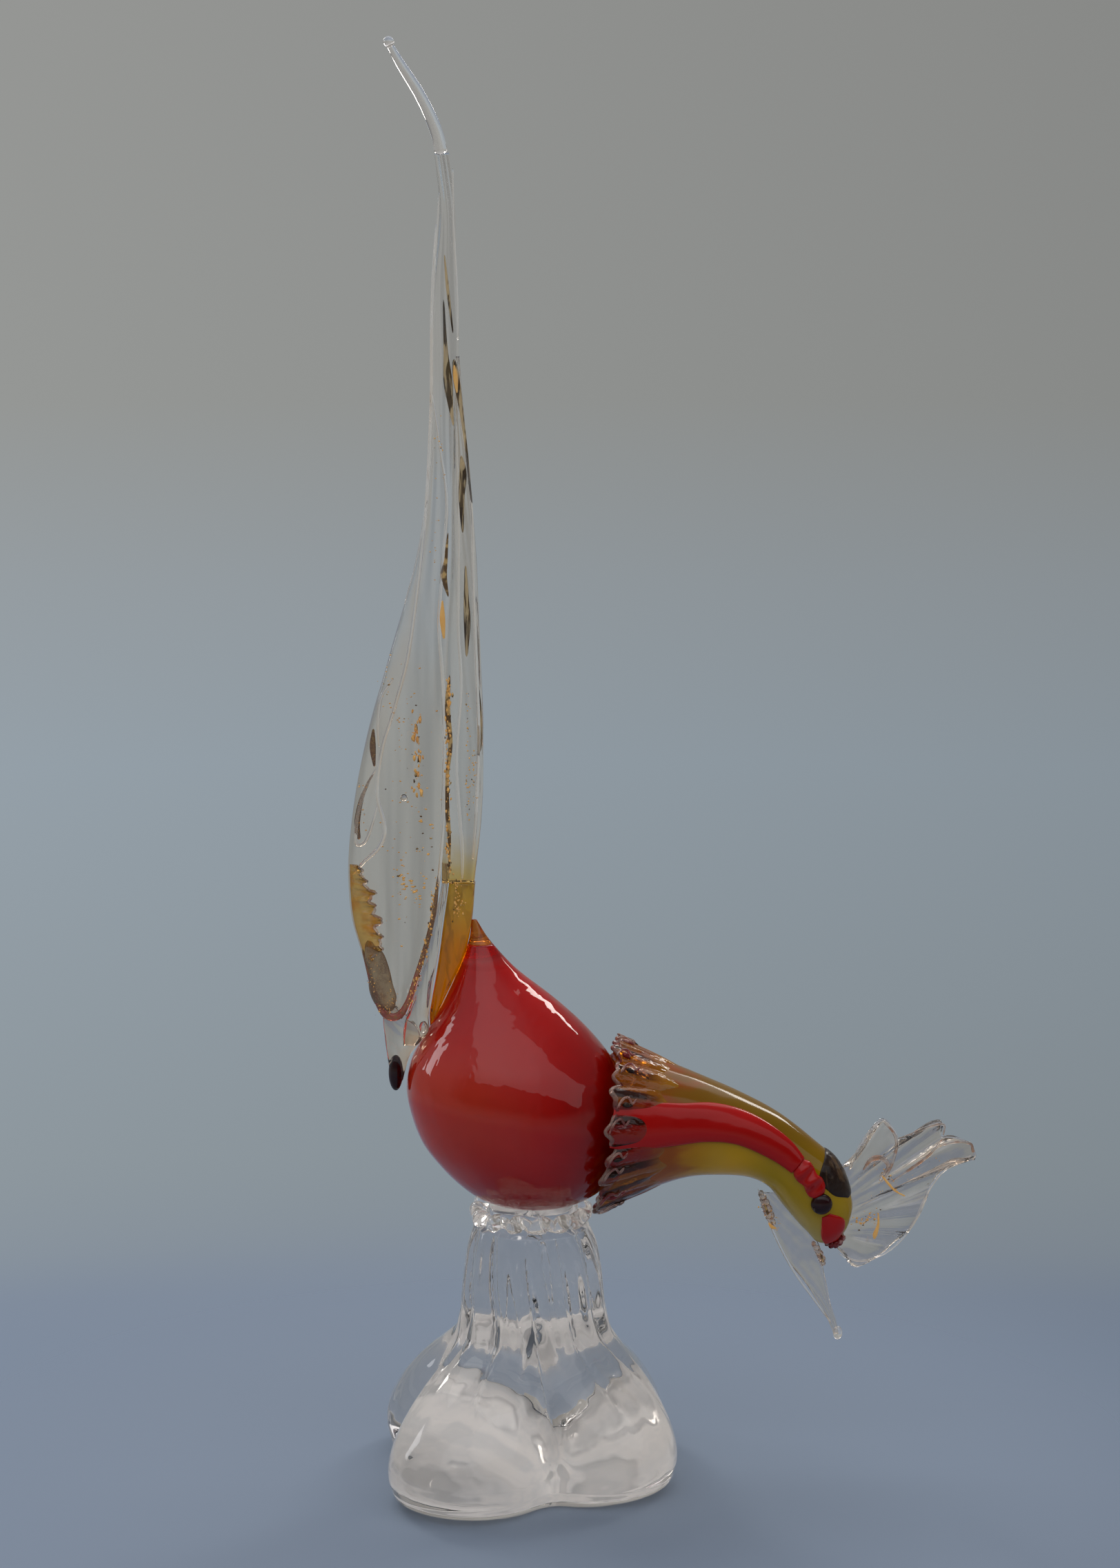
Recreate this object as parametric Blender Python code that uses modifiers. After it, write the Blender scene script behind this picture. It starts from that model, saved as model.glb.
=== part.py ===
"""Hot-worked glass pheasant, head bowed as if drinking, on a clear lobed foot.

Metres, +Z up.  The bird faces +X, its left side is +Y.  The origin is the middle of the flat
underside of the foot.  Every gather or bit of glass is one closed solid.  Neighbouring bits, which
are fused hot on the real bird, are kept apart by FUSE_GAP.
"""
import math

import bmesh
import bpy
import numpy as np

MM = 0.001
FUSE_GAP = 0.3                      # space left between fused bits, in millimetres

# Foot: flat underside, four pinched lobes, drawn up into a fluted stem.  Millimetres.
# Each lobe is a disc at the belly of the foot: azimuth, distance of its middle, radius.
FOOT_LOBES = (
    (-124.7, 31.6, 22.0),
    (-33.0, 22.0, 22.5),
    (51.7, 24.2, 21.5),
    (135.0, 25.5, 22.0),
)
FOOT_PINCH = 16.0                   # power of the blend between lobes: higher pinches harder
FOOT_RIBS = 12
# height, stem radius, share of the lobes' reach beyond the stem, rib height
FOOT_STATIONS = (
    (0.0, 20.0, 0.76, 0.0),
    (1.2, 20.0, 0.87, 0.0),
    (5.0, 20.0, 0.97, 0.0),
    (10.0, 20.0, 1.00, 0.0),
    (15.0, 20.0, 0.96, 0.0),
    (22.0, 20.2, 0.82, 0.2),
    (29.0, 20.4, 0.60, 0.4),
    (37.0, 20.6, 0.28, 0.7),
    (43.0, 20.6, 0.07, 0.9),
    (49.0, 20.0, 0.0, 1.0),
    (60.0, 18.5, 0.0, 0.9),
    (68.0, 17.2, 0.0, 0.7),
    (72.6, 15.8, 0.0, 0.3),
)
POST_RADIUS = 10.6                  # plain post on the stem that carries the body
POST_TOP = 78.0

# Crimped ring round the post.
COLLAR_RADIUS = 14.2
COLLAR_TUBE = 2.6
COLLAR_HEIGHT = 75.6
COLLAR_CRIMPS = 13
COLLAR_CENTRE_X = -0.4

# Body teardrop from the round bottom up: station, height, rear edge, front edge.
BODY_STATIONS = (
    (0.0, 78.4, 1.2, 2.0),
    (1.0, 79.0, -8.4, 10.6),
    (2.0, 80.8, -14.2, 16.0),
    (3.0, 84.4, -19.6, 21.0),
    (4.0, 90.0, -25.2, 25.2),
    (5.0, 97.0, -30.4, 27.4),
    (6.0, 105.0, -33.4, 27.8),
    (7.0, 112.5, -34.6, 26.2),
    (8.0, 120.0, -33.2, 22.4),
    (9.0, 128.5, -28.6, 15.6),
    (10.0, 137.0, -24.0, 6.6),
    (11.0, 145.5, -20.2, -3.8),
    (12.0, 153.8, -17.2, -11.2),
    (13.0, 159.8, -16.3, -15.0),
)
BODY_FLATNESS = 0.93                # side-to-side width over front-to-rear length
CASING_WALL = 1.9
CASING_TOP = 11.86                  # station of the open end that the tip closes
CORE_TOP = 11.2
TIP_BOTTOM = 11.6

# Neck and head: station, crown line x z, throat line x z, half width.
NECK_STATIONS = (
    (0.0, 23.0, 125.0, 17.4, 77.4, 23.8),
    (1.0, 35.7, 119.9, 31.6, 82.8, 17.6),
    (2.0, 47.6, 115.0, 43.0, 86.4, 13.6),
    (3.0, 58.2, 110.3, 52.4, 87.0, 11.4),
    (4.0, 68.6, 104.6, 60.4, 86.3, 9.8),
    (5.0, 78.1, 97.2, 66.0, 83.5, 8.9),
    (6.0, 85.2, 90.2, 70.0, 78.3, 8.3),
    (7.0, 89.4, 80.0, 74.4, 73.0, 7.2),
    (8.0, 88.9, 73.4, 77.4, 69.8, 5.8),
    (9.0, 86.6, 68.2, 80.0, 66.4, 3.4),
)
NECK_START = 0.86                   # the core of the neck begins clear of the breast
RUFF_END = 1.45                     # where the ruffled collar dies into the neck
RUFF_WALL = 1.6
RUFF_CRIMPS = 15
RUFF_CRIMP_HEIGHT = 0.8

# Red strip on each side of the neck: station, centre line x z, half width.
STRIPE_STATIONS = (
    (1.1, 35.0, 105.3, 5.7),
    (1.5, 39.9, 105.1, 5.7),
    (2.3, 49.0, 104.9, 5.1),
    (3.0, 56.6, 103.3, 4.5),
    (4.0, 65.9, 98.6, 3.9),
    (4.85, 72.4, 93.3, 3.0),
)
STRIPE_THICKNESS = 1.5
# Brow beads: x, z, radius along the head, radius across it.
BROW_BEAD_REAR = (75.7, 89.8, 2.9, 2.8)
BROW_BEAD_FRONT = (78.2, 86.1, 2.9, 2.7)
BEAD_STANDOUT = 1.5
EYE = (80.6, 80.5)
EYE_RADIUS = 2.75
# Cheek: station, centre line x z, half width.
CHEEK_STATIONS = (
    (7.2, 82.9, 75.9, 2.0),
    (7.6, 83.8, 74.1, 3.3),
    (8.1, 84.0, 71.6, 3.3),
    (8.6, 83.7, 69.6, 2.4),
)
CHEEK_THICKNESS = 0.9
CROWN_FROM = 5.62
CROWN_TO = 6.88
CROWN_THICKNESS = 0.9
CROWN_REACH = 54.0                  # degrees down each side of the head

# Crest: root curve along the end of the head, then the free rim.
CREST_ROOT = ((88.3, 88.8), (90.3, 85.2), (91.3, 80.0), (90.9, 74.6), (89.4, 70.2), (88.0, 66.6))
CREST_RIM = (
    (89.0, 90.0), (93.2, 96.6), (97.8, 102.2), (102.0, 98.6), (107.4, 99.4), (113.4, 101.8),
    (114.8, 96.6), (121.6, 96.4), (123.8, 92.6), (116.0, 89.0), (111.6, 82.6), (107.6, 74.2),
    (103.4, 67.6), (97.4, 62.8), (91.8, 60.6), (88.2, 62.0),
)
CREST_THICKNESS = 1.0
CREST_RUFFLE = 2.6

# Beak blade and its curled edges.  Station height, rear edge x, front edge x, half thickness.
BEAK_STATIONS = (
    (81.0, 63.9, 66.0, 0.6),
    (75.0, 66.2, 71.0, 0.8),
    (70.0, 67.9, 75.4, 0.9),
    (65.4, 69.9, 79.2, 1.0),
    (61.0, 72.2, 80.2, 1.2),
    (55.3, 76.4, 82.4, 1.3),
    (49.0, 80.4, 83.9, 1.2),
    (44.0, 83.2, 85.5, 1.0),
    (40.4, 84.8, 86.3, 0.8),
)
BEAK_BALL_RADIUS = 1.25
CURL_REAR = ((63.4, 81.8, 0.7), (64.8, 78.0, 1.3), (66.3, 73.8, 1.4), (67.7, 69.6, 0.9))
CURL_SIDE = -2.7                    # the curls stand on the right-hand face of the blade
CURL_FRONT = ((80.9, 64.2, 0.7), (82.3, 61.6, 0.9), (82.6, 58.6, 0.9), (83.5, 55.4, 0.6))
HEAD_LIP = ((82.0, 65.0, 0.7), (84.0, 64.9, 1.1), (86.2, 65.6, 0.8))

# Tail: height, rear edge x, dividing fold x, half thickness of the rear leaf.
TAIL_REAR_STATIONS = (
    (134.6, -42.4, -35.2, 2.4),
    (142.0, -44.2, -32.2, 3.6),
    (151.2, -46.8, -29.0, 4.4),
    (160.0, -49.2, -27.0, 4.8),
    (172.0, -50.3, -25.0, 5.2),
    (190.0, -48.8, -24.4, 5.2),
    (212.0, -44.6, -23.8, 5.0),
    (235.0, -38.2, -22.8, 4.6),
    (262.0, -30.8, -21.6, 4.0),
    (285.0, -27.5, -21.4, 3.5),
    (302.0, -26.9, -21.0, 3.3),
    (316.0, -26.9, -19.2, 3.2),
    (336.0, -26.0, -19.7, 2.8),
    (356.0, -24.3, -20.0, 2.3),
    (370.0, -25.4, -21.7, 1.9),
)
# Height, dividing fold x, front edge x, half thickness of the front leaf.
TAIL_FRONT_STATIONS = (
    (172.0, -24.6, -15.6, 4.0),
    (190.0, -23.9, -13.4, 4.0),
    (212.0, -23.3, -12.9, 3.8),
    (235.0, -22.3, -13.6, 3.4),
    (262.0, -21.1, -14.8, 3.0),
    (288.0, -20.6, -16.7, 2.4),
    (304.0, -20.0, -18.4, 1.2),
)
# Height, rear edge x, front edge x, half thickness of the amber root.
TAIL_ROOT_STATIONS = (
    (134.4, -32.6, -28.2, 2.2),
    (142.0, -31.2, -24.3, 3.6),
    (151.2, -28.0, -20.4, 4.4),
    (160.0, -26.2, -17.8, 4.4),
    (171.4, -24.5, -15.8, 4.0),
)
# Lip that wraps the foot of the rear leaf: height, rear edge x, front edge x, half thickness.
TAIL_LIP_STATIONS = (
    (116.2, -39.0, -35.4, 1.8),
    (121.0, -39.9, -34.2, 2.6),
    (127.0, -41.0, -31.0, 3.2),
    (133.6, -42.4, -29.2, 2.8),
)
TAIL_KNOB = (-36.9, 112.7, 1.9)
TAIL_TIP_PATH = ((-24.0, 370.6, 1.75), (-26.3, 379.0, 1.7), (-29.9, 386.4, 1.6), (-34.2, 393.2, 1.35),
                 (-37.3, 398.7, 1.0))
TAIL_TIP_BALL = (-37.5, 399.3, 1.5)


def spline(rows, at):
    """Values at the keys in `at`, from a cubic through rows of key, value, value, ..."""
    rows = np.array(rows, dtype=float)
    keys = rows[:, 0]
    values = rows[:, 1:]
    slopes = np.gradient(values, keys, axis=0)
    at = np.asarray(at, dtype=float)
    left = np.clip(np.searchsorted(keys, at, side="right") - 1, 0, len(keys) - 2)
    span = (keys[left + 1] - keys[left])[:, None]
    t = (at[:, None] - keys[left][:, None]) / span
    start = (2 * t ** 3 - 3 * t ** 2 + 1) * values[left]
    leave = (t ** 3 - 2 * t ** 2 + t) * span * slopes[left]
    end = (3 * t ** 2 - 2 * t ** 3) * values[left + 1]
    arrive = (t ** 3 - t ** 2) * span * slopes[left + 1]
    return start + leave + end + arrive


def glass(name, colour, roughness, transmission):
    """A glass colour as a Principled material."""
    material = bpy.data.materials.new(name)
    material.use_nodes = True
    shader = material.node_tree.nodes["Principled BSDF"]
    shader.inputs["Base Color"].default_value = (colour[0], colour[1], colour[2], 1.0)
    shader.inputs["Roughness"].default_value = roughness
    shader.inputs["Transmission Weight"].default_value = transmission
    shader.inputs["IOR"].default_value = 1.5
    return material


def finish(obj, home, material):
    """Apply modifiers, face the skin outward, and file the object in its collection."""
    depsgraph = bpy.context.evaluated_depsgraph_get()
    mesh = bpy.data.meshes.new_from_object(obj.evaluated_get(depsgraph))
    mesh.transform(obj.matrix_world)
    solid = bpy.data.objects.new(obj.name + "_solid", mesh)
    name = obj.name
    bpy.data.objects.remove(obj)
    solid.name = name
    mesh.name = name
    shape = bmesh.new()
    shape.from_mesh(mesh)
    bmesh.ops.remove_doubles(shape, verts=shape.verts, dist=1e-6)
    bmesh.ops.recalc_face_normals(shape, faces=shape.faces)
    shape.to_mesh(mesh)
    shape.free()
    mesh.materials.clear()
    mesh.materials.append(material)
    home.objects.link(solid)
    return solid


def loft(name, rings, home, material, ladder=False):
    """A closed solid through unlike sections: rings of points in millimetres, capped at both ends.

    A cap is a fan to the middle of its ring, or, for a thin arch, a ladder from one side to the other.
    """
    rings = np.asarray(rings, dtype=float)
    count, around = rings.shape[:2]
    points = np.vstack([rings.reshape(-1, 3), rings[0].mean(axis=0), rings[-1].mean(axis=0)]) * MM
    ring = np.arange(around)
    after = (ring + 1) % around
    faces = []
    for row in range(count - 1):
        low = row * around
        high = low + around
        faces += np.stack([low + ring, low + after, high + after, high + ring], axis=1).tolist()
    first = count * around
    last = first + 1
    top = (count - 1) * around
    if ladder:
        rung = np.arange(around // 2 - 1)
        cap = np.stack([rung + 1, rung, around - 1 - rung, around - 2 - rung], axis=1)
        faces += cap.tolist() + (cap[:, ::-1] + top).tolist()
        points = points[:first]
    else:
        faces += np.stack([after, ring, np.full(around, first)], axis=1).tolist()
        faces += np.stack([top + ring, top + after, np.full(around, last)], axis=1).tolist()
    mesh = bpy.data.meshes.new(name)
    mesh.from_pydata(points.tolist(), [], faces)
    obj = bpy.data.objects.new(name, mesh)
    bpy.context.scene.collection.objects.link(obj)
    return finish(obj, home, material)


def ball(name, centre, radii, home, material, segments=16, rows=10):
    """A bead: a UV sphere stretched to three radii, in millimetres."""
    bpy.ops.mesh.primitive_uv_sphere_add(segments=segments, ring_count=rows, radius=1.0)
    obj = bpy.context.object
    obj.name = name
    for vertex in obj.data.vertices:
        vertex.co.x = (centre[0] + vertex.co.x * radii[0]) * MM
        vertex.co.y = (centre[1] + vertex.co.y * radii[1]) * MM
        vertex.co.z = (centre[2] + vertex.co.z * radii[2]) * MM
    return finish(obj, home, material)


def rod(name, path, home, material, lateral=0.0, closed=False):
    """A drawn thread of glass: a curve through x, z, radius stations, filled at its ends."""
    data = bpy.data.curves.new(name, "CURVE")
    data.dimensions = "3D"
    data.resolution_u = 4
    data.bevel_depth = MM
    data.bevel_resolution = 2
    data.use_fill_caps = not closed
    line = data.splines.new("BEZIER")
    line.bezier_points.add(len(path) - 1)
    for point, station in zip(line.bezier_points, path):
        point.co = (station[0] * MM, lateral * MM, station[1] * MM)
        point.radius = station[2]
        point.handle_left_type = "AUTO"
        point.handle_right_type = "AUTO"
    line.use_cyclic_u = closed
    obj = bpy.data.objects.new(name, data)
    bpy.context.scene.collection.objects.link(obj)
    return finish(obj, home, material)


def weld(target, other, home, material):
    """Fuse a second solid of the same glass into the first."""
    union = target.modifiers.new("fuse", "BOOLEAN")
    union.operation = "UNION"
    union.solver = "EXACT"
    union.object = other
    bpy.context.view_layer.update()
    solid = finish(target, home, material)
    bpy.data.objects.remove(other)
    return solid


def superellipse(centre, half_x, half_y, height, around, power=1.0):
    """A level section; power under 1 squares it, over 1 sharpens its ends."""
    angle = np.linspace(0.0, 2 * math.pi, around, endpoint=False)
    c = np.sign(np.cos(angle)) * np.abs(np.cos(angle)) ** power
    s = np.sign(np.sin(angle)) * np.abs(np.sin(angle)) ** power
    return np.stack([centre + half_x * c, half_y * s, np.full(around, height)], axis=1)


def foot_outline(angle):
    """Reach of the lobes at their belly: the outermost disc each way, with its pinches softened."""
    reach = np.zeros_like(angle)
    for azimuth, distance, radius in FOOT_LOBES:
        turn = angle - math.radians(azimuth)
        under = np.maximum(radius ** 2 - (distance * np.sin(turn)) ** 2, 0.0)
        edge = np.maximum(distance * np.cos(turn) + np.sqrt(under), 1.0)
        reach += np.where(under > 0.0, edge, 1.0) ** FOOT_PINCH
    return reach ** (1.0 / FOOT_PINCH)


def foot(home, material):
    """A stem swollen by its lobes' reach and fluted by a cosine; then the plain post."""
    around = 56
    angle = np.linspace(0.0, 2 * math.pi, around, endpoint=False)
    heights = np.concatenate([np.linspace(0, 6, 4), np.linspace(11, 72.6, 12)])
    outline = foot_outline(angle)
    flute = 0.5 * np.cos(FOOT_RIBS * angle)
    rings = []
    for height, (stem, share, rib) in zip(heights, spline(FOOT_STATIONS, heights)):
        radius = stem + (outline - 20.0) * share + rib * flute
        rings.append(np.stack([radius * np.cos(angle), radius * np.sin(angle), np.full(around, height)], 1))
    for radius, height in ((POST_RADIUS, 73.0), (POST_RADIUS, POST_TOP - 0.4), (POST_RADIUS - 0.6, POST_TOP)):
        rings.append(np.stack([radius * np.cos(angle), radius * np.sin(angle), np.full(around, height)], 1))
    return loft("foot_pedestal", rings, home, material)


def collar(home, material):
    """A ring of glass pinched all round: its path swings in and out, and so does its thickness."""
    data = bpy.data.curves.new("foot_collar", "CURVE")
    data.dimensions = "3D"
    data.bevel_depth = MM
    data.bevel_resolution = 2
    line = data.splines.new("POLY")
    steps = COLLAR_CRIMPS * 4
    line.points.add(steps - 1)
    for index, point in enumerate(line.points):
        angle = 2 * math.pi * index / steps
        swing = math.cos(COLLAR_CRIMPS * angle)
        radius = COLLAR_RADIUS + 0.45 * swing
        x = COLLAR_CENTRE_X + radius * math.cos(angle)
        point.co = (x * MM, radius * math.sin(angle) * MM, COLLAR_HEIGHT * MM, 1.0)
        point.radius = COLLAR_TUBE * (0.82 + 0.16 * swing)
    line.use_cyclic_u = True
    obj = bpy.data.objects.new("foot_collar", data)
    bpy.context.scene.collection.objects.link(obj)
    return finish(obj, home, material)


def body_skin(stations, inset, around=32):
    """Sections of the teardrop at outline stations, moved in along the skin's own normals by `inset`."""
    stations = np.asarray(stations, dtype=float)
    low = BODY_STATIONS[0][0]
    high = BODY_STATIONS[-1][0]
    rows = spline(BODY_STATIONS, stations)
    above = np.minimum(stations + 0.02, high)
    below = np.maximum(stations - 0.02, low)
    slope = (spline(BODY_STATIONS, above) - spline(BODY_STATIONS, below)) / (above - below)[:, None]
    middle = (rows[:, 1:2] + rows[:, 2:3]) / 2
    half = (rows[:, 2:3] - rows[:, 1:2]) / 2
    climb = slope[:, 0:1]
    lean = (slope[:, 1:2] + slope[:, 2:3]) / 2
    spread = (slope[:, 2:3] - slope[:, 1:2]) / 2
    angle = np.linspace(0.0, 2 * math.pi, around, endpoint=False)[None, :]
    flat = BODY_FLATNESS
    x = middle + half * np.cos(angle)
    y = flat * half * np.sin(angle)
    z = np.broadcast_to(rows[:, 0:1], x.shape)
    normal = np.stack([flat * climb * np.cos(angle), climb * np.sin(angle),
                       -flat * (spread + lean * np.cos(angle))], axis=2)
    normal /= np.linalg.norm(normal, axis=2)[:, :, None]
    return np.stack([x, y, z], axis=2) - inset * normal


def body(home, ruby, red, amber):
    """Casing as a skin given a wall, a core inside it, and the drawn-out tip that closes the casing."""
    rings = body_skin(np.linspace(0.0, CASING_TOP, 19), 0.0)
    around = rings.shape[1]
    faces = []
    ring = np.arange(around)
    after = (ring + 1) % around
    for row in range(len(rings) - 1):
        start = row * around
        above = start + around
        faces += np.stack([start + ring, start + after, above + after, above + ring], axis=1).tolist()
    points = np.vstack([rings.reshape(-1, 3), rings[0].mean(axis=0)])
    faces += np.stack([after, ring, np.full(around, len(points) - 1)], axis=1).tolist()
    mesh = bpy.data.meshes.new("body_casing")
    mesh.from_pydata((points * MM).tolist(), [], faces)
    casing = bpy.data.objects.new("body_casing", mesh)
    bpy.context.scene.collection.objects.link(casing)
    shape = bmesh.new()
    shape.from_mesh(mesh)
    bmesh.ops.recalc_face_normals(shape, faces=shape.faces)
    shape.to_mesh(mesh)
    shape.free()
    wall = casing.modifiers.new("wall", "SOLIDIFY")
    wall.thickness = CASING_WALL * MM
    wall.offset = -1.0
    finish(casing, home, ruby)
    inset = CASING_WALL + 2 * FUSE_GAP
    loft("body_core", body_skin(np.linspace(0.3, CORE_TOP, 17), inset), home, red)
    plug = body_skin(np.linspace(TIP_BOTTOM, CASING_TOP + 0.05, 4), inset, 24)
    cone = body_skin(np.linspace(CASING_TOP + 0.07, BODY_STATIONS[-1][0], 5), 0.0, 24)
    loft("body_tip", np.concatenate([plug, cone]), home, amber)


def neck_frame(at):
    """Centre, crown direction, half depth and half width of the neck at each station."""
    rows = spline(NECK_STATIONS, at)
    crown = np.stack([rows[:, 0], np.zeros(len(at)), rows[:, 1]], axis=1)
    throat = np.stack([rows[:, 2], np.zeros(len(at)), rows[:, 3]], axis=1)
    across = crown - throat
    depth = np.linalg.norm(across, axis=1) / 2
    return (crown + throat) / 2, across / (2 * depth[:, None]), depth, rows[:, 4]


def neck_ring(frame, index, grow, around=24, crimp=0.0):
    """One section of the neck, `grow` millimetres outside its skin, with optional crimps."""
    centre, up, depth, width = (part[index] for part in frame)
    angle = np.linspace(0.0, 2 * math.pi, around, endpoint=False)
    extra = grow + crimp * np.cos(RUFF_CRIMPS * angle)
    lateral = np.array([0.0, 1.0, 0.0])
    return (centre + ((depth + extra) * np.cos(angle))[:, None] * up
            + ((width + extra) * np.sin(angle))[:, None] * lateral)


def neck(home, yellow, amber):
    """The drawn neck, thinner where it sits in the ruffled collar, then the collar as a sleeve."""
    at = np.concatenate([np.linspace(NECK_START, RUFF_END, 3), np.linspace(RUFF_END + 0.15, 9.0, 18)])
    frame = neck_frame(at)
    sunk = RUFF_WALL + FUSE_GAP + 0.2
    grow = np.where(at <= RUFF_END, -sunk, 0.0)
    grow = np.where(at >= 8.99, -0.6, grow)
    loft("neck_core", [neck_ring(frame, i, grow[i]) for i in range(len(at))], home, yellow)
    around = RUFF_CRIMPS * 4
    out = np.linspace(0.0, RUFF_END, 5)
    frame = neck_frame(out)
    rings = []
    for i, station in enumerate(out):
        fade = 1 - station / RUFF_END
        rings.append(neck_ring(frame, i, 0.1 * fade, around, RUFF_CRIMP_HEIGHT * fade ** 1.5))
    back = np.linspace(RUFF_END, 0.0, 4)
    frame = neck_frame(back)
    for i, station in enumerate(back):
        fade = 1 - station / RUFF_END
        rings.append(neck_ring(frame, i, -RUFF_WALL, around, 0.4 * RUFF_CRIMP_HEIGHT * fade ** 1.5))
    points = np.vstack(rings)
    ring = np.arange(around)
    after = (ring + 1) % around
    faces = []
    for row in range(len(rings)):
        low = row * around
        high = ((row + 1) % len(rings)) * around
        faces += np.stack([low + ring, low + after, high + after, high + ring], axis=1).tolist()
    mesh = bpy.data.meshes.new("neck_ruff")
    mesh.from_pydata((points * MM).tolist(), [], faces)
    ruff = bpy.data.objects.new("neck_ruff", mesh)
    bpy.context.scene.collection.objects.link(ruff)
    finish(ruff, home, amber)


def skin_strip(name, stations, centres, halves, thickness, side, home, material):
    """A strip laid on the neck: a low arc above its skin, from a centre line and a half width."""
    frame = neck_frame(stations)
    across = np.linspace(-1.0, 1.0, 9)
    rings = []
    for i in range(len(stations)):
        centre, up, depth, width = (part[i] for part in frame)
        swell = thickness * math.sin(math.pi * (0.08 + 0.84 * i / (len(stations) - 1))) ** 0.35
        offset = float(np.dot(np.array([centres[i][0], 0.0, centres[i][1]]) - centre, up))
        out = []
        for v, level in ([(v, 1.0) for v in across] + [(v, 0.0) for v in across[-2:0:-1]]):
            lift = FUSE_GAP + level * (0.12 + swell * math.sqrt(max(1 - v * v, 0.0)))
            place = np.clip((offset + v * halves[i]) / (depth + lift), -0.98, 0.98)
            angle = math.acos(place)
            y = side * (width + lift) * math.sin(angle)
            out.append(centre + up * (depth + lift) * place + np.array([0.0, y, 0.0]))
        rings.append(out)
    return loft(name, rings, home, material)


def side_width(x, z):
    """Half width of the head at a place on its side."""
    at = np.linspace(4.5, 9.0, 181)
    centre, up, depth, width = neck_frame(at)
    place = np.array([x, 0.0, z])
    nearest = int(np.argmin(np.linalg.norm(centre - place, axis=1)))
    offset = float(np.dot(place - centre[nearest], up[nearest])) / depth[nearest]
    return float(width[nearest]) * math.sqrt(max(1 - offset * offset, 0.05))


def head_bits(home, red, dark, brown):
    """Strips, brow beads, eyes and cheeks on both sides, and the patch over the crown."""
    at = np.linspace(STRIPE_STATIONS[0][0], STRIPE_STATIONS[-1][0], 14)
    rows = spline(STRIPE_STATIONS, at)
    for word, side in (("left", 1.0), ("right", -1.0)):
        skin_strip("neck_stripe_" + word, at, rows[:, :2], rows[:, 2], STRIPE_THICKNESS, side, home, red)
        beads = []
        for label, (x, z, along, over) in (("a", BROW_BEAD_REAR), ("b", BROW_BEAD_FRONT)):
            y = side * (side_width(x, z) + FUSE_GAP + BEAD_STANDOUT + 0.2)
            beads.append(ball("bead_" + label, (x, y, z), (along, BEAD_STANDOUT, over), home, red, 14, 8))
        beads[0].name = "brow_beads_" + word
        weld(beads[0], beads[1], home, red)
        x, z = EYE
        y = side * (side_width(x, z) + FUSE_GAP + 0.7 * EYE_RADIUS)
        ball("eye_" + word, (x, y, z), (EYE_RADIUS, 0.7 * EYE_RADIUS, EYE_RADIUS), home, dark)
        spot = np.linspace(CHEEK_STATIONS[0][0], CHEEK_STATIONS[-1][0], 7)
        patch = spline(CHEEK_STATIONS, spot)
        skin_strip("cheek_" + word, spot, patch[:, :2], patch[:, 2], CHEEK_THICKNESS, side, home, red)
    at = np.linspace(CROWN_FROM, CROWN_TO, 7)
    frame = neck_frame(at)
    rings = []
    for i in range(len(at)):
        centre, up, depth, width = (part[i] for part in frame)
        reach = math.radians(CROWN_REACH * (0.62 + 0.38 * math.sin(math.pi * i / 6.0)))
        sweep = np.linspace(-reach, reach, 11)
        out = []
        for angle, level in ([(a, 1.0) for a in sweep] + [(a, 0.0) for a in sweep[::-1]]):
            lift = 3 * FUSE_GAP + level * CROWN_THICKNESS
            out.append(centre + up * (depth + lift) * math.cos(angle)
                       + np.array([0.0, (width + lift) * math.sin(angle), 0.0]))
        rings.append(out)
    loft("crown_patch", rings, home, brown, ladder=True)


def even(points, count):
    """`count` points at even spacing along a smooth line through the given ones."""
    points = np.array(points, dtype=float)
    rows = np.column_stack([np.arange(len(points)), points])
    fine = spline(rows, np.linspace(0, len(points) - 1, 400))
    run = np.concatenate([[0.0], np.cumsum(np.linalg.norm(np.diff(fine[:, :2], axis=0), axis=1))])
    want = np.linspace(0, run[-1], count)
    return np.stack([np.interp(want, run, fine[:, k]) for k in range(fine.shape[1])], axis=1)


def crest(home, material):
    """A thin fan between its root and its rim, thrown into folds toward the rim, given a thickness."""
    columns = 37
    rows = 6
    root = even(CREST_ROOT, columns)
    rim = even(CREST_RIM, columns)
    points = []
    for row in range(rows):
        t = row / (rows - 1)
        place = root * (1 - t) + rim * t
        folds = np.sin(np.linspace(0.0, 9.0 * math.pi, columns)) * CREST_RUFFLE * t ** 1.4
        points.append(np.stack([place[:, 0], folds, place[:, 1]], axis=1))
    points = np.vstack(points)
    faces = []
    step = np.arange(columns - 1)
    for row in range(rows - 1):
        low = row * columns
        high = low + columns
        faces += np.stack([low + step, low + step + 1, high + step + 1, high + step], axis=1).tolist()
    mesh = bpy.data.meshes.new("crest")
    mesh.from_pydata((points * MM).tolist(), [], faces)
    obj = bpy.data.objects.new("crest", mesh)
    bpy.context.scene.collection.objects.link(obj)
    wall = obj.modifiers.new("wall", "SOLIDIFY")
    wall.thickness = CREST_THICKNESS * MM
    wall.offset = 0.0
    return finish(obj, home, material)


def leaf(name, stations, steps, home, material, around=16, power=0.9):
    """A flat leaf: level lens sections between a rear edge and a front edge."""
    low = min(row[0] for row in stations)
    high = max(row[0] for row in stations)
    ordered = sorted(stations)
    heights = np.linspace(low, high, steps)
    rings = []
    for height, (rear, front, thick) in zip(heights, spline(ordered, heights)):
        rings.append(superellipse((rear + front) / 2, (front - rear) / 2, thick, height, around, power))
    return loft(name, rings, home, material)


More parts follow.
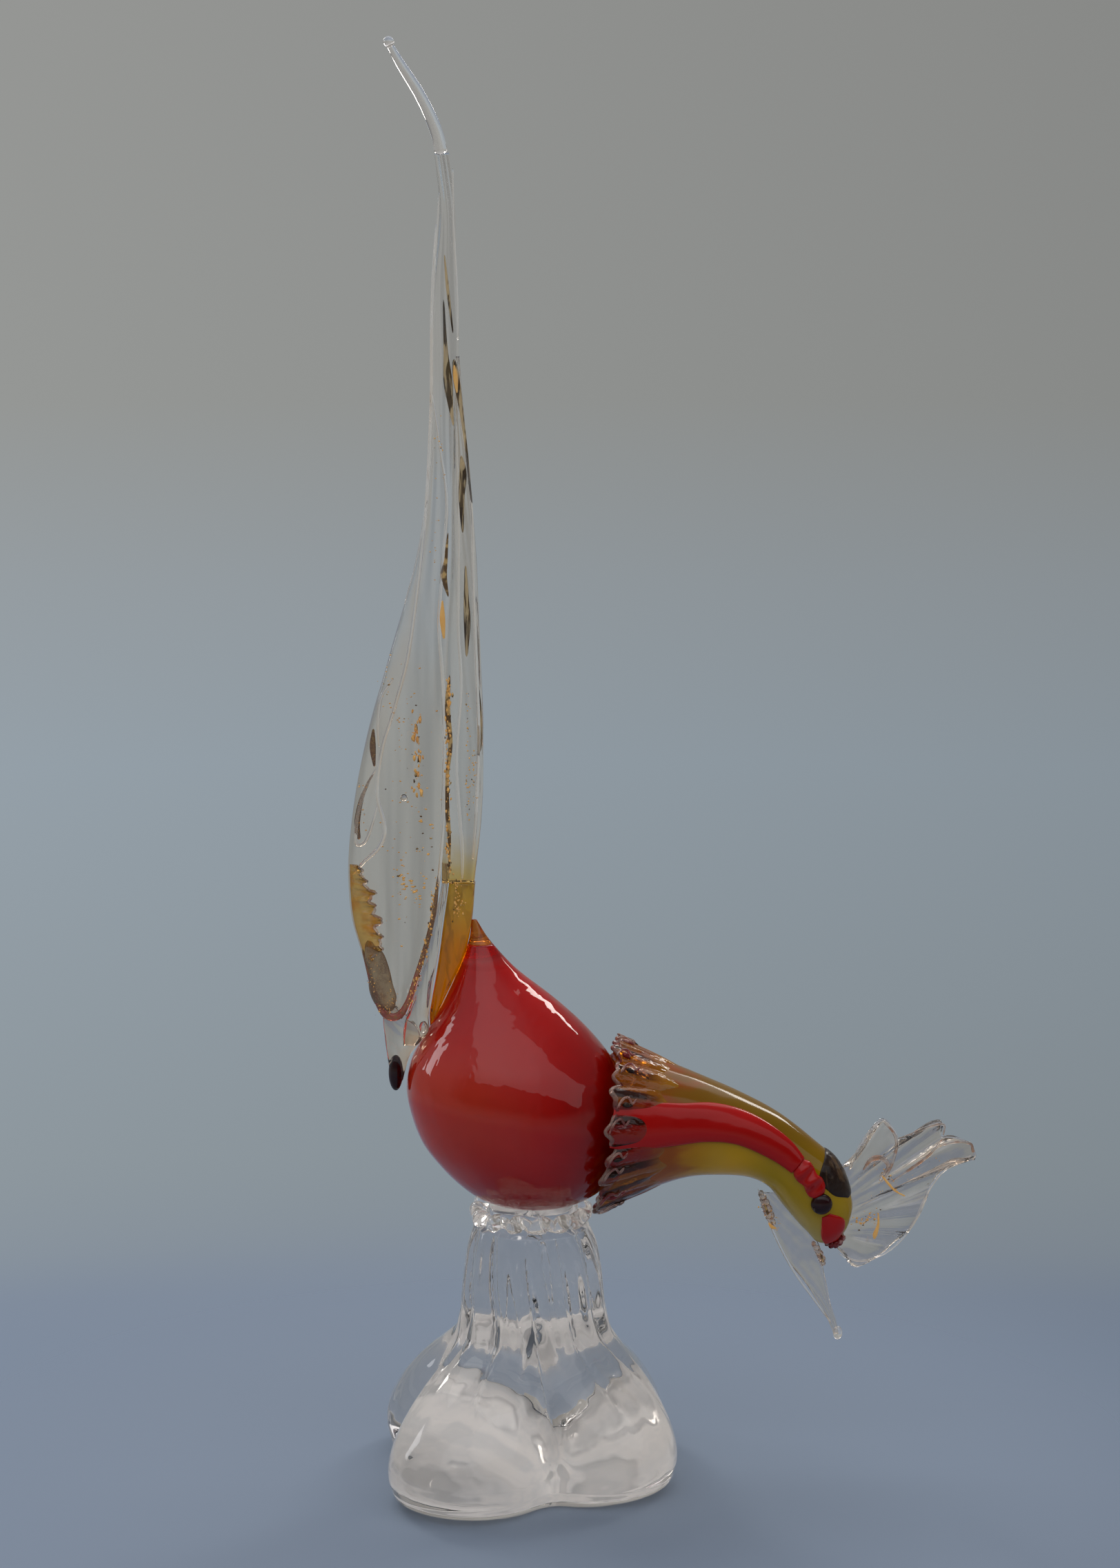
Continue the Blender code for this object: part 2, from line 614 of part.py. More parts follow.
def beak(home, material):
    """A flat blade drawn out to a thread with a ball, and the curled edges at its root."""
    blade = leaf("beak", BEAK_STATIONS, 12, home, material, 12, 0.95)
    tip = ball("beak_ball", (86.4, 0.0, 39.6), (BEAK_BALL_RADIUS,) * 3, home, material, 14, 8)
    weld(blade, tip, home, material)
    rod("beak_curl_rear", CURL_REAR, home, material, CURL_SIDE)
    rod("beak_curl_front", CURL_FRONT, home, material, CURL_SIDE)


def tail(home, clear, amber, brown):
    """Rear leaf, front leaf, amber root, wrapping lip, dark knob and the curled tip with its ball."""
    leaf("tail_plume_rear", TAIL_REAR_STATIONS, 32, home, clear, 14)
    leaf("tail_plume_front", TAIL_FRONT_STATIONS, 16, home, clear, 12)
    leaf("tail_root", TAIL_ROOT_STATIONS, 8, home, amber, 16)
    leaf("tail_lip", TAIL_LIP_STATIONS, 7, home, clear, 14)
    x, z, radius = TAIL_KNOB
    ball("tail_knob", (x, 0.0, z), (radius,) * 3, home, brown, 16, 10)
    thread = rod("tail_tip", TAIL_TIP_PATH, home, clear)
    x, z, radius = TAIL_TIP_BALL
    end = ball("tail_ball", (x, 0.0, z), (radius,) * 3, home, clear, 16, 10)
    weld(thread, end, home, clear)


def main():
    """Build the bird into one collection."""
    for obj in list(bpy.data.objects):
        bpy.data.objects.remove(obj)
    home = bpy.data.collections.new("glass_pheasant")
    bpy.context.scene.collection.children.link(home)
    clear = glass("clear glass", (0.93, 0.92, 0.9), 0.03, 0.9)
    ruby = glass("ruby casing glass", (0.62, 0.03, 0.03), 0.04, 0.8)
    red = glass("opaque red glass", (0.62, 0.05, 0.03), 0.08, 0.0)
    amber = glass("amber glass", (0.85, 0.38, 0.05), 0.05, 0.6)
    yellow = glass("olive yellow glass", (0.7, 0.52, 0.1), 0.08, 0.3)
    dark = glass("maroon black glass", (0.03, 0.005, 0.008), 0.05, 0.0)
    brown = glass("dark brown glass", (0.05, 0.02, 0.012), 0.08, 0.0)
    foot(home, clear)
    collar(home, clear)
    body(home, ruby, red, amber)
    neck(home, yellow, amber)
    head_bits(home, red, dark, brown)
    crest(home, clear)
    beak(home, clear)
    rod("head_lip", HEAD_LIP, home, clear)
    tail(home, clear, amber, brown)
    for obj in home.objects:
        for face in obj.data.polygons:
            face.use_smooth = True


main()
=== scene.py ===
# %% [markdown]
# # A glass pheasant, drinking
# The real object is hot-worked glass: a blown red teardrop, a drawn amber neck, clear bits pressed and pulled
# into a crest, a beak and a tall tail, all on a heavy clear foot. Every bit is its own piece here. The packed
# model gives the places.

# %% Load the frame
import math

import bpy
import numpy as np
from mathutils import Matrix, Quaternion, Vector


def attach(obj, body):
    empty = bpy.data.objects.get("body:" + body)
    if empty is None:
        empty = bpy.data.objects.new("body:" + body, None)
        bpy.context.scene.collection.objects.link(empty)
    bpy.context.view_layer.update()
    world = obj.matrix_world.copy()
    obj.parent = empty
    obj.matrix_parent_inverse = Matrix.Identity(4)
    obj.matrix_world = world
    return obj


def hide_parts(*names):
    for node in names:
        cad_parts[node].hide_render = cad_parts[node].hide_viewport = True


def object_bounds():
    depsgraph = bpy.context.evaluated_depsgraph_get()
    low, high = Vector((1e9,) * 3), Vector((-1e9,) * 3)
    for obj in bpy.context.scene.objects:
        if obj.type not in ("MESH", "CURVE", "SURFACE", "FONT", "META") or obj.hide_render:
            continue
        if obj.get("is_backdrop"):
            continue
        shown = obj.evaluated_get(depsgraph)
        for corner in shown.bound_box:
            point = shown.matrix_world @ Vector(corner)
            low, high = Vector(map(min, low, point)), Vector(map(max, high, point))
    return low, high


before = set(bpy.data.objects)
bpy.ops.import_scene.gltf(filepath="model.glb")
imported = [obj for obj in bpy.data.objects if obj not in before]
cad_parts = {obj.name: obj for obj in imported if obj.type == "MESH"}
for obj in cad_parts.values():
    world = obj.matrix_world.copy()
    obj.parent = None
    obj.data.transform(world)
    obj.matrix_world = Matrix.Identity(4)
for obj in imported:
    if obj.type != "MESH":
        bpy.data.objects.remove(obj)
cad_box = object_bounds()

MM = 0.001
BODY_NAME = "root"
print("nodes:", len(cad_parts), "box:", [round(float(v), 4) for corner in cad_box for v in corner])

# %% [markdown]
# ## Camera
# The bird is seen from its right side, from a little above, with a long lens, so the foot is seen more from
# above than the tail is.  A camera needs only a place, a downward tilt and a focal length; there is no shift.

# %% Camera
CAMERA_DISTANCE = 1.3
CAMERA_TILT = math.radians(12.0)
CAMERA_AIM = (0.008, 0.0, 0.198)
CAMERA_LENS = 152.5
camera_data = bpy.data.cameras.new("camera")
camera_data.lens = CAMERA_LENS
camera_data.sensor_fit = "HORIZONTAL"
camera_data.sensor_width = 36.0
camera = bpy.data.objects.new("camera", camera_data)
bpy.context.scene.collection.objects.link(camera)
camera.location = (
    CAMERA_AIM[0],
    -CAMERA_DISTANCE * math.cos(CAMERA_TILT),
    CAMERA_AIM[2] + CAMERA_DISTANCE * math.sin(CAMERA_TILT),
)
camera.rotation_euler = (math.pi / 2 - CAMERA_TILT, 0.0, 0.0)
bpy.context.scene.camera = camera
bpy.context.scene.view_settings.view_transform = "Standard"
print("camera at", [round(v, 3) for v in camera.location])

# %% [markdown]
# ## Shader sums
# A finish is mostly arithmetic on the surface's own coordinates.  One class wraps a socket, so that a mask
# can be written as a sum; a second one holds a material and makes any node in it.

# %% Shader sums
class Wire:
    """A socket on which + - * build Math nodes."""

    def __init__(self, finish, socket):
        self.finish = finish
        self.socket = socket

    def sum(self, operation, first, second):
        return self.finish.node("ShaderNodeMath", {"operation": operation}, {0: first, 1: second})

    def __add__(self, other):
        return self.sum("ADD", self, other)

    def __sub__(self, other):
        return self.sum("SUBTRACT", self, other)

    def __mul__(self, other):
        return self.sum("MULTIPLY", self, other)

    def __rsub__(self, other):
        return self.sum("SUBTRACT", other, self)

    __radd__ = __add__
    __rmul__ = __mul__


class Board:
    """A node tree that makes nodes, ranges and colour blends."""

    def __init__(self, tree):
        self.tree = tree

    def feed(self, socket, value):
        if isinstance(value, Wire):
            self.tree.links.new(value.socket, socket)
        elif isinstance(value, tuple) and len(value) == 3 and socket.type == "RGBA":
            socket.default_value = (*value, 1.0)
        else:
            socket.default_value = value

    def node(self, kind, settings, inputs, output=0):
        made = self.tree.nodes.new(kind)
        for name, value in settings.items():
            setattr(made, name, value)
        for key, value in inputs.items():
            self.feed(made.inputs[key], value)
        return Wire(self, made.outputs[output])

    def axes(self, place):
        """The x, y and z of a place or a direction."""
        split = self.node("ShaderNodeSeparateXYZ", {}, {0: place}).socket.node
        return [Wire(self, split.outputs[k]) for k in range(3)]

    def rise(self, value, low, high):
        """0 below low, 1 above high, and smooth between; it falls when low is above high."""
        if low > high:
            return 1.0 - self.rise(value, high, low)
        ports = {"Value": value, "From Min": low, "From Max": high}
        return self.node("ShaderNodeMapRange", {"interpolation_type": "SMOOTHSTEP"}, ports, "Result")

    def blend(self, share, first, second):
        """Colour from first to second as share goes from 0 to 1."""
        return self.node("ShaderNodeMix", {"data_type": "RGBA"}, {0: share, 6: first, 7: second}, 2)


class Finish(Board):
    """A material: plain values go on the Principled shader, and node() makes everything else."""

    def __init__(self, name, **plain):
        self.material = bpy.data.materials.new(name)
        self.material.use_nodes = True
        super().__init__(self.material.node_tree)
        self.shader = self.tree.nodes["Principled BSDF"]
        self.place = self.node("ShaderNodeTexCoord", {}, {}, "Object")
        for label, value in plain.items():
            self.set(label.replace("_", " "), value)

    def set(self, label, value):
        self.feed(self.shader.inputs[label], value)

    def cloud(self, scale, detail=3.0, stretch=(1.0, 1.0, 1.0), distortion=0.0):
        """Noise of about 1/scale metres, stretched along an axis by a factor below 1."""
        where = self.node("ShaderNodeVectorMath", {"operation": "MULTIPLY"}, {0: self.place, 1: stretch})
        ports = {"Vector": where, "Scale": scale, "Detail": detail, "Distortion": distortion}
        return self.node("ShaderNodeTexNoise", {}, ports, "Fac")

    def dent(self, height, distance, strength=1.0):
        """Bump of the given height map, worth `distance` metres from 0 to 1, on the shader's normal."""
        ports = {"Height": height, "Distance": distance, "Strength": strength}
        self.set("Normal", self.node("ShaderNodeBump", {}, ports, "Normal"))


print("helpers ready")

# %% [markdown]
# ## Glass colours
# Soda glass bends light by 1.5.  Clear pieces carry a breath of warmth from the gold worked into them.  The
# surfaces were polished by the flame, so they are smooth, but the tools left broad soft waves.  The waves are
# bump, and the tints are noise in the base colour; transmission and IOR are plain numbers on the shader.

# %% Clear glass
GLASS_IOR = 1.5


def clear_glass(name, wave, grain, stretch, clarity=1.0, warmth=0.0):
    """Clear glass: a low cloud bends the skin, and warmth above 0 lets the colour drift toward amber."""
    white = (1.0, 1.0, 1.0)
    glass = Finish(name, Base_Color=white, Roughness=0.02, Transmission_Weight=clarity, IOR=GLASS_IOR)
    if warmth:
        patches = glass.rise(glass.cloud(38.0, 2.0, stretch), 0.45, 0.75)
        plain = (1.0, 1.0 - 0.18 * warmth, 1.0 - 0.36 * warmth)
        warm = (1.0, 1.0 - 0.26 * warmth, 1.0 - 0.52 * warmth)
        glass.set("Base Color", glass.blend(patches, plain, warm))
    glass.dent(glass.cloud(grain, 2.0, stretch), wave)
    return glass


foot_finish = clear_glass("clear foot glass", 0.0012, 60.0, (1.0, 1.0, 0.45), warmth=0.30)

# The two leaves are tinted by height instead, warmest at the foot.
tail_finish = clear_glass("clear tail glass", 0.0016, 120.0, (1.0, 1.0, 0.10), 0.97)
z = tail_finish.axes(tail_finish.place)[2]
low_tint = tail_finish.rise(z + tail_finish.cloud(30.0) * 0.04, 0.30, 0.22)
tail_finish.set("Base Color", tail_finish.blend(low_tint, (1.0, 0.97, 0.94), (1.0, 0.87, 0.73)))
front_finish = clear_glass("front leaf glass", 0.0012, 130.0, (1.0, 1.0, 0.12), 0.97)
z = front_finish.axes(front_finish.place)[2]
foot_tint = front_finish.rise(z + front_finish.cloud(160.0, 3.0) * 0.012, 0.192, 0.176)
front_finish.set("Base Color", front_finish.blend(foot_tint, (1.0, 0.90, 0.79), (1.0, 0.66, 0.20)))

thin_finish = clear_glass("thin clear glass", 0.0006, 140.0, (1.0, 1.0, 0.6), 0.96, 0.5)
thread_finish = clear_glass("clear drawn thread", 0.0003, 220.0, (1.0, 1.0, 0.3), 0.96, 0.15)
# Painted light: a faint glow in the drawn threads stands in for the glints that light gives their edges.
thread_finish.set("Emission Color", (1.0, 0.95, 0.88))
thread_finish.set("Emission Strength", 0.03)
bubble_finish = clear_glass("trapped bubble", 0.0001, 200.0, (1.0, 1.0, 1.0))
print("materials after the clear glasses:", len(bpy.data.materials))

# %% Mottled glass
def mottled(name, cloud, edge, first, second, dent=None, **plain):
    """A finish whose colour goes from first to second as a cloud rises through `edge`.

    `cloud` is the noise's scale, detail, stretch and distortion.  `dent` is a second cloud's scale, detail
    and stretch, and last the height in metres that it is worth.
    """
    finish = Finish(name, **plain)
    share = finish.cloud(*cloud)
    if edge:
        share = finish.rise(share, *edge)
    finish.set("Base Color", finish.blend(share, first, second))
    if dent:
        finish.dent(finish.cloud(*dent[:-1]), dent[-1])
    return finish


# %% Ruby casing and red core
casing_finish = Finish("ruby casing", Roughness=0.02, Transmission_Weight=1.0, IOR=GLASS_IOR,
                       Specular_IOR_Level=0.38)
z = casing_finish.axes(casing_finish.place)[2]
deep = casing_finish.rise(z, 0.151, 0.147)
casing_finish.set("Base Color", casing_finish.blend(deep, (0.30, 0.012, 0.010), (0.92, 0.30, 0.28)))
casing_finish.dent(casing_finish.cloud(85.0, 3.0, (1.0, 1.0, 0.35), 0.4), 0.0006)

core_finish = Finish("opaque red core", Roughness=0.35, Specular_IOR_Level=0.3)
x, _, z = core_finish.axes(core_finish.place)
streak = core_finish.cloud(55.0, 4.0, (1.0, 1.0, 0.55), 0.6)
# Painted light and shade: the rear of the core at mid height is turned a lighter orange-red as if lit there,
# and its front side, toward the head, is painted darker as shade.
painted_light_rear = core_finish.rise(x + streak * 0.018, 0.020, -0.012)
painted_light_rear = painted_light_rear * core_finish.rise(z + streak * 0.014, 0.092, 0.112)
painted_light_rear = painted_light_rear * core_finish.rise(z + streak * 0.012, 0.143, 0.120)
cool = core_finish.rise(z + streak * 0.010, 0.100, 0.084)
red = core_finish.blend(cool, (0.92, 0.012, 0.006), (0.72, 0.012, 0.018))
shade = core_finish.rise(x + streak * 0.01, 0.004, 0.030)
red = core_finish.blend(shade * 0.8, red, (0.46, 0.004, 0.003))
core_finish.set("Base Color", core_finish.blend(painted_light_rear * 0.9, red, (0.98, 0.17, 0.035)))

strip_finish = mottled("laid-on red glass", (90.0, 3.0, (0.25, 1.0, 1.0)), None,
                       (0.42, 0.003, 0.003), (0.64, 0.008, 0.006), (120.0, 2.0, (0.4, 1.0, 1.0), 0.0004),
                       Roughness=0.14, Specular_IOR_Level=0.35)
print("materials after the reds:", len(bpy.data.materials))

# %% Ambers, neck and dark bits
root_finish = Finish("amber root glass", Roughness=0.03, Transmission_Weight=0.85, IOR=GLASS_IOR)
z = root_finish.axes(root_finish.place)[2]
smoke = root_finish.rise(root_finish.cloud(260.0, 4.0, (1.0, 1.0, 0.3), 1.2), 0.50, 0.62)
amber = root_finish.blend(root_finish.rise(z, 0.150, 0.168), (0.98, 0.30, 0.0), (0.98, 0.52, 0.05))
root_finish.set("Base Color", root_finish.blend(smoke * 0.6, amber, (0.34, 0.13, 0.012)))
root_finish.dent(root_finish.cloud(180.0, 2.0, (1.0, 1.0, 0.25)), 0.0006)

tip_finish = Finish("amber tip glass", Roughness=0.03, Transmission_Weight=0.8, IOR=GLASS_IOR)
smoke = tip_finish.rise(tip_finish.cloud(240.0, 3.0, (1.0, 1.0, 0.5)), 0.52, 0.60)
tip_finish.set("Base Color", tip_finish.blend(smoke * 0.6, (0.88, 0.27, 0.03), (0.22, 0.05, 0.015)))

neck_finish = Finish("olive neck glass", Roughness=0.10, Transmission_Weight=0.15, IOR=GLASS_IOR,
                     Specular_IOR_Level=0.4)
x, _, z = neck_finish.axes(neck_finish.place)
cord = neck_finish.cloud(70.0, 2.0, (0.25, 1.0, 1.0))
far = neck_finish.rise(x + cord * 0.010, 0.036, 0.064)
tone = neck_finish.blend(far, (0.60, 0.155, 0.0), (0.58, 0.36, 0.0))
# Painted shade: the upper side of the neck, toward the crown, is painted darker.
painted_shade_top = neck_finish.rise(x * 0.45 + z, 0.118, 0.134)
tone = neck_finish.blend(painted_shade_top * 0.8, tone, (0.20, 0.085, 0.0))
throat = neck_finish.rise(x, 0.046, 0.058) * neck_finish.rise(x * 0.75 + z, 0.139, 0.127)
tone = neck_finish.blend(throat * 0.5, tone, (0.80, 0.70, 0.34))
under = neck_finish.rise(z - x * 0.05, 0.101, 0.088) * neck_finish.rise(x, 0.068, 0.054)
under = under * neck_finish.rise(x, 0.036, 0.058)
tone = neck_finish.blend(under * 0.8, tone, (1.0, 0.50, 0.0))
fingers = neck_finish.rise(x + neck_finish.cloud(230.0, 2.0, (0.12, 1.0, 1.0)) * 0.030, 0.060, 0.050)
neck_finish.set("Base Color", neck_finish.blend(fingers * 0.8, tone, (0.40, 0.075, 0.0)))
neck_finish.dent(cord, 0.0006)

ruff_finish = Finish("crimped amber glass", Roughness=0.04, Transmission_Weight=0.72, IOR=GLASS_IOR)
x, y, z = ruff_finish.axes(ruff_finish.place)
ring = ruff_finish.node("ShaderNodeMath", {"operation": "ARCTAN2"}, {0: y, 1: z - 0.101})
teeth = ruff_finish.node("ShaderNodeMath", {"operation": "SINE"}, {0: ring * 19.0})
rough = ruff_finish.cloud(210.0, 4.0, (0.35, 1.0, 1.0), 1.4)
# Painted shade: nineteen dark bands round the ruff stand for the shade in the grooves between the petals.
painted_groove_shade = ruff_finish.rise(teeth + rough * 1.6, 1.25, 1.65) * ruff_finish.rise(x, 0.0375, 0.030)
wine = ruff_finish.rise(ruff_finish.cloud(120.0, 3.0, (0.5, 1.0, 1.0), 0.8), 0.50, 0.60)
wine = wine * ruff_finish.rise(x, 0.038, 0.026)
far = ruff_finish.rise(x + rough * 0.008, 0.034, 0.044)
amber = ruff_finish.blend(far, (0.78, 0.24, 0.006), (0.98, 0.50, 0.03))
tone = ruff_finish.blend(wine * 0.8, amber, (0.42, 0.02, 0.015))
band = ruff_finish.rise(z + rough * 0.006, 0.096, 0.100) * ruff_finish.rise(z + rough * 0.006, 0.118, 0.113)
band = band * ruff_finish.rise(x + rough * 0.01, 0.044, 0.034)
tone = ruff_finish.blend(band * 0.9, tone, (0.66, 0.012, 0.014))
ruff_finish.set("Base Color", ruff_finish.blend(painted_groove_shade, tone, (0.09, 0.022, 0.008)))
ruff_finish.dent(ruff_finish.cloud(260.0, 3.0, (0.3, 1.0, 1.0)), 0.0009)

lip_finish = mottled("pinkish lip glass", (240.0, 2.0), (0.42, 0.62), (0.90, 0.62, 0.50), (0.50, 0.09, 0.09),
                     (420.0, 2.0, 0.0005), Roughness=0.03, Transmission_Weight=0.75, IOR=GLASS_IOR)
wine_finish = mottled("wine red glass", (500.0, 2.0), (0.50, 0.66), (0.30, 0.006, 0.010), (0.80, 0.45, 0.40),
                      Roughness=0.08, Transmission_Weight=0.4, IOR=GLASS_IOR)
eye_finish = mottled("maroon black glass", (400.0, 2.0), None, (0.010, 0.0015, 0.002), (0.034, 0.003, 0.005),
                     Roughness=0.15, Specular_IOR_Level=0.4)
crown_finish = mottled("dark brown glass", (170.0, 3.0, (1.0, 1.0, 0.5), 0.8), (0.52, 0.70),
                       (0.022, 0.009, 0.005), (0.13, 0.075, 0.036), (300.0, 2.0, 0.0003),
                       Roughness=0.22, Specular_IOR_Level=0.35)

# %% Gold, smoke and the tail's tints
# Painted light: the leaf glows a little, so the flecks read as bright warm glints inside the glass.
gold_finish = mottled("gold leaf", (600.0, 2.0), None, (0.74, 0.36, 0.07), (1.0, 0.66, 0.26),
                      Metallic=0.2, Roughness=0.4, Emission_Color=(0.95, 0.48, 0.13), Emission_Strength=0.16)
ember_finish = mottled("scorched leaf", (420.0, 3.0), (0.46, 0.60), (0.20, 0.11, 0.045), (0.86, 0.56, 0.22),
                       Roughness=0.35, Metallic=0.2)
smoke_finish = mottled("smoked gold streak", (900.0, 3.0, (1.0, 1.0, 0.10), 0.8), (0.44, 0.54),
                       (0.10, 0.06, 0.025), (1.0, 0.78, 0.46), (500.0, 2.0, (1.0, 1.0, 0.2), 0.0004),
                       Roughness=0.06, Transmission_Weight=0.6, IOR=GLASS_IOR)
honey_finish = mottled("honey crimp glass", (330.0, 3.0, (1.0, 1.0, 0.6)), (0.45, 0.65),
                       (1.0, 0.66, 0.20), (0.94, 0.46, 0.08), (300.0, 2.0, 0.0005),
                       Roughness=0.03, Transmission_Weight=0.85, IOR=GLASS_IOR)

plum_finish = Finish("plum brown glass", Roughness=0.05, Transmission_Weight=0.6, IOR=GLASS_IOR)
z = plum_finish.axes(plum_finish.place)[2]
grit = plum_finish.rise(plum_finish.cloud(900.0, 2.0), 0.50, 0.62)
tone = plum_finish.blend(plum_finish.rise(z, 0.138, 0.156), (0.66, 0.22, 0.17), (0.36, 0.20, 0.11))
plum_finish.set("Base Color", plum_finish.blend(grit * 0.7, tone, (0.55, 0.36, 0.16)))

vein_finish = mottled("warm vein glass", (380.0, 3.0), (0.48, 0.62), (0.98, 0.88, 0.80), (0.84, 0.50, 0.34),
                      (420.0, 2.0, 0.0005), Roughness=0.04, Transmission_Weight=0.85, IOR=GLASS_IOR)

speck_finish = Finish("speckled leaf patch", Roughness=0.30, Transmission_Weight=0.6, IOR=1.3)
grit = speck_finish.rise(speck_finish.cloud(2600.0, 3.0), 0.44, 0.66)
broad = speck_finish.rise(speck_finish.cloud(240.0, 2.0), 0.40, 0.62)
tone = speck_finish.blend(broad, (0.42, 0.29, 0.20), (0.66, 0.52, 0.34))
speck_finish.set("Base Color", speck_finish.blend(grit * 0.5, tone, (0.80, 0.66, 0.42)))
print("materials:", len(bpy.data.materials))

# %% [markdown]
# ## Shapes as grids
# Every bit of glass is a surface of two parameters: how far along it and how far round it.  A grid of points
# worked out with whole arrays becomes quads, and each end closes on a pole.

# %% Grid helpers
def spline(rows, at):
    """Values at the keys in `at`: a cubic through rows of key, value, ..., its slopes from neighbours."""
    rows = np.array(rows, dtype=float)
    keys, values = rows[:, 0], rows[:, 1:]
    slopes = np.gradient(values, keys, axis=0)
    at = np.asarray(at, dtype=float)
    left = np.clip(np.searchsorted(keys, at, side="right") - 1, 0, len(keys) - 2)
    span = (keys[left + 1] - keys[left])[:, None]
    t = (at[:, None] - keys[left][:, None]) / span
    return ((2 * t ** 3 - 3 * t ** 2 + 1) * values[left] + (t ** 3 - 2 * t ** 2 + t) * span * slopes[left]
            + (3 * t ** 2 - 2 * t ** 3) * values[left + 1] + (t ** 3 - t ** 2) * span * slopes[left + 1])


def turns(count):
    """Angles round a section, without the last that would repeat the first."""
    return np.linspace(0.0, 2 * math.pi, count, endpoint=False)


def make(name, points, faces, finish, replaces=(), slot=None):
    """A piece from points in millimetres: smooth, facing out, riding on the body."""
    mesh = bpy.data.meshes.new(name)
    mesh.from_pydata((np.asarray(points, dtype=float) * MM).tolist(), [], faces)
    mesh.update()
    volume = signed_volume(mesh)
    if volume < 0:
        mesh.flip_normals()
    mesh.polygons.foreach_set("use_smooth", np.ones(len(mesh.polygons), dtype=bool))
    mesh.materials.append(finish.material)
    piece = bpy.data.objects.new(name, mesh)
    bpy.context.scene.collection.objects.link(piece)
    if replaces:
        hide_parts(*replaces)
    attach(piece, BODY_NAME)
    print(f"{name}: {len(mesh.polygons)} faces, {abs(volume) * 1e6:.2f} ml")
    return piece


def signed_volume(mesh):
    """Sum over triangles of a . (b x c) / 6: above zero when the faces point out."""
    mesh.calc_loop_triangles()
    corners = np.empty(len(mesh.loop_triangles) * 3, dtype=np.int32)
    mesh.loop_triangles.foreach_get("vertices", corners)
    places = np.empty(len(mesh.vertices) * 3)
    mesh.vertices.foreach_get("co", places)
    a, b, c = (places.reshape(-1, 3)[corners.reshape(-1, 3)[:, k]] for k in range(3))
    return float(np.einsum("ij,ij->i", a, np.cross(b, c)).sum() / 6)


def tube_faces(rows, around, ring_closed=False):
    """Quads between neighbouring rings, the last ring joined to the first for a closed loop."""
    ring = np.arange(around)
    after = (ring + 1) % around
    low = (np.arange(rows if ring_closed else rows - 1) * around)[:, None]
    high = (low + around) % (rows * around)
    return np.stack([low + ring, low + after, high + after, high + ring], axis=2).reshape(-1, 4).tolist()


def skin(name, grid, finish, **more):
    """A closed solid from rings (rows, around, 3): quads between rings and a fan to a pole at each end."""
    rows, around = grid.shape[:2]
    ring = np.arange(around)
    after = (ring + 1) % around
    points = np.vstack([grid.reshape(-1, 3), grid[0].mean(axis=0), grid[-1].mean(axis=0)])
    first, top = rows * around, (rows - 1) * around
    faces = tube_faces(rows, around)
    faces += np.stack([after, ring, np.full(around, first)], axis=1).tolist()
    faces += np.stack([top + ring, top + after, np.full(around, first + 1)], axis=1).tolist()
    return make(name, points, faces, finish, **more)


def loop_skin(name, grid, finish, **more):
    """A ring-shaped solid: as skin(), but the last section meets the first."""
    rows, around = grid.shape[:2]
    return make(name, grid.reshape(-1, 3), tube_faces(rows, around, True), finish, **more)


def thread_grid(path, radii, around=16, flat=1.0, ring_axis=None):
    """Rings of a thread: circles of the given radii, square to the path and turned with no twist.

    The side direction is the path's direction crossed with +Y, so a path in the bird's own plane never flips.
    A closed thread is given `ring_axis`, the direction that its ring faces, and that takes the place of +Y.
    """
    path = np.asarray(path, dtype=float)
    ahead = np.roll(path, -1, axis=0) - np.roll(path, 1, axis=0)
    if ring_axis is None:
        ahead[0], ahead[-1] = path[1] - path[0], path[-1] - path[-2]
        ring_axis = (0.0, 1.0, 0.0)
    ahead /= np.linalg.norm(ahead, axis=1)[:, None]
    side = np.cross(ahead, ring_axis)
    side /= np.linalg.norm(side, axis=1)[:, None]
    up = np.cross(side, ahead)
    angle = turns(around)[None, :, None]
    radii = np.broadcast_to(np.asarray(radii, dtype=float), (len(path),))[:, None, None]
    section = np.cos(angle) * side[:, None, :] + flat * np.sin(angle) * up[:, None, :]
    return path[:, None, :] + radii * section


def along(stations, count):
    """A smooth run through stations of x, y, z, radius: (points, radii)."""
    rows = [(index, *station) for index, station in enumerate(stations)]
    run = spline(rows, np.linspace(0, len(stations) - 1, count))
    return run[:, :3], run[:, 3]


def round_ends(radii, count):
    """Close the first and last rings like a dome: radius * sqrt(1 - s^2), with s from 1 at the end to 0."""
    dome = np.sqrt(np.clip(1 - np.linspace(1, 0, count) ** 2, 0.03, 1))
    radii[:count] *= dome
    radii[-count:] *= dome[::-1]
    return radii


def thread(name, stations, finish, count=60, around=14, flat=1.0, **more):
    """A drawn thread with round ends: the last few rings close like a dome.

    Below 1, `flat` presses it to a ribbon that lies in the bird's own plane.
    """
    path, radii = along(stations, count)
    return skin(name, thread_grid(path, round_ends(radii, 5), around, flat), finish, **more)


def threads(table, count, around, flat):
    """Every thread of a table that gives each name its finish and stations."""
    for name, (finish, *stations) in table.items():
        thread(name, stations, finish, count, around, flat, slot="clear_glass")


def bead(name, centre, radii, finish, rows=40, around=48, **more):
    """An ellipsoid: circles of sin(t) at heights cos(t)."""
    t = np.linspace(0.04, math.pi - 0.04, rows)[:, None]
    angle = turns(around)[None, :]
    grid = np.stack([np.sin(t) * np.cos(angle), np.sin(t) * np.sin(angle), np.cos(t) + 0 * angle], axis=2)
    return skin(name, np.asarray(centre) + grid * np.asarray(radii), finish, **more)


print("grid helpers ready")

# %% [markdown]
# ## Foot
# The foot is one heavy gather.  It was pinched into four lobes at the bottom and drawn up into a stem, and
# the pinches ran up the stem as flutes.  The outline of the lobes is the reach of four discs.  A share of
# that reach is added to the stem's radius at each height, with a gentle twist, so the flutes lean as the
# tool left them.

# %% Foot
FOOT_LOBES = ((-124.7, 31.6, 22.0), (-33.0, 22.0, 22.5), (49.0, 25.0, 21.0), (138.0, 27.6, 21.2))
FOOT_PINCH = 13.0
FOOT_TOP = 72.6
LOBE_START = 20.0          # a reach of this much adds nothing to the stem
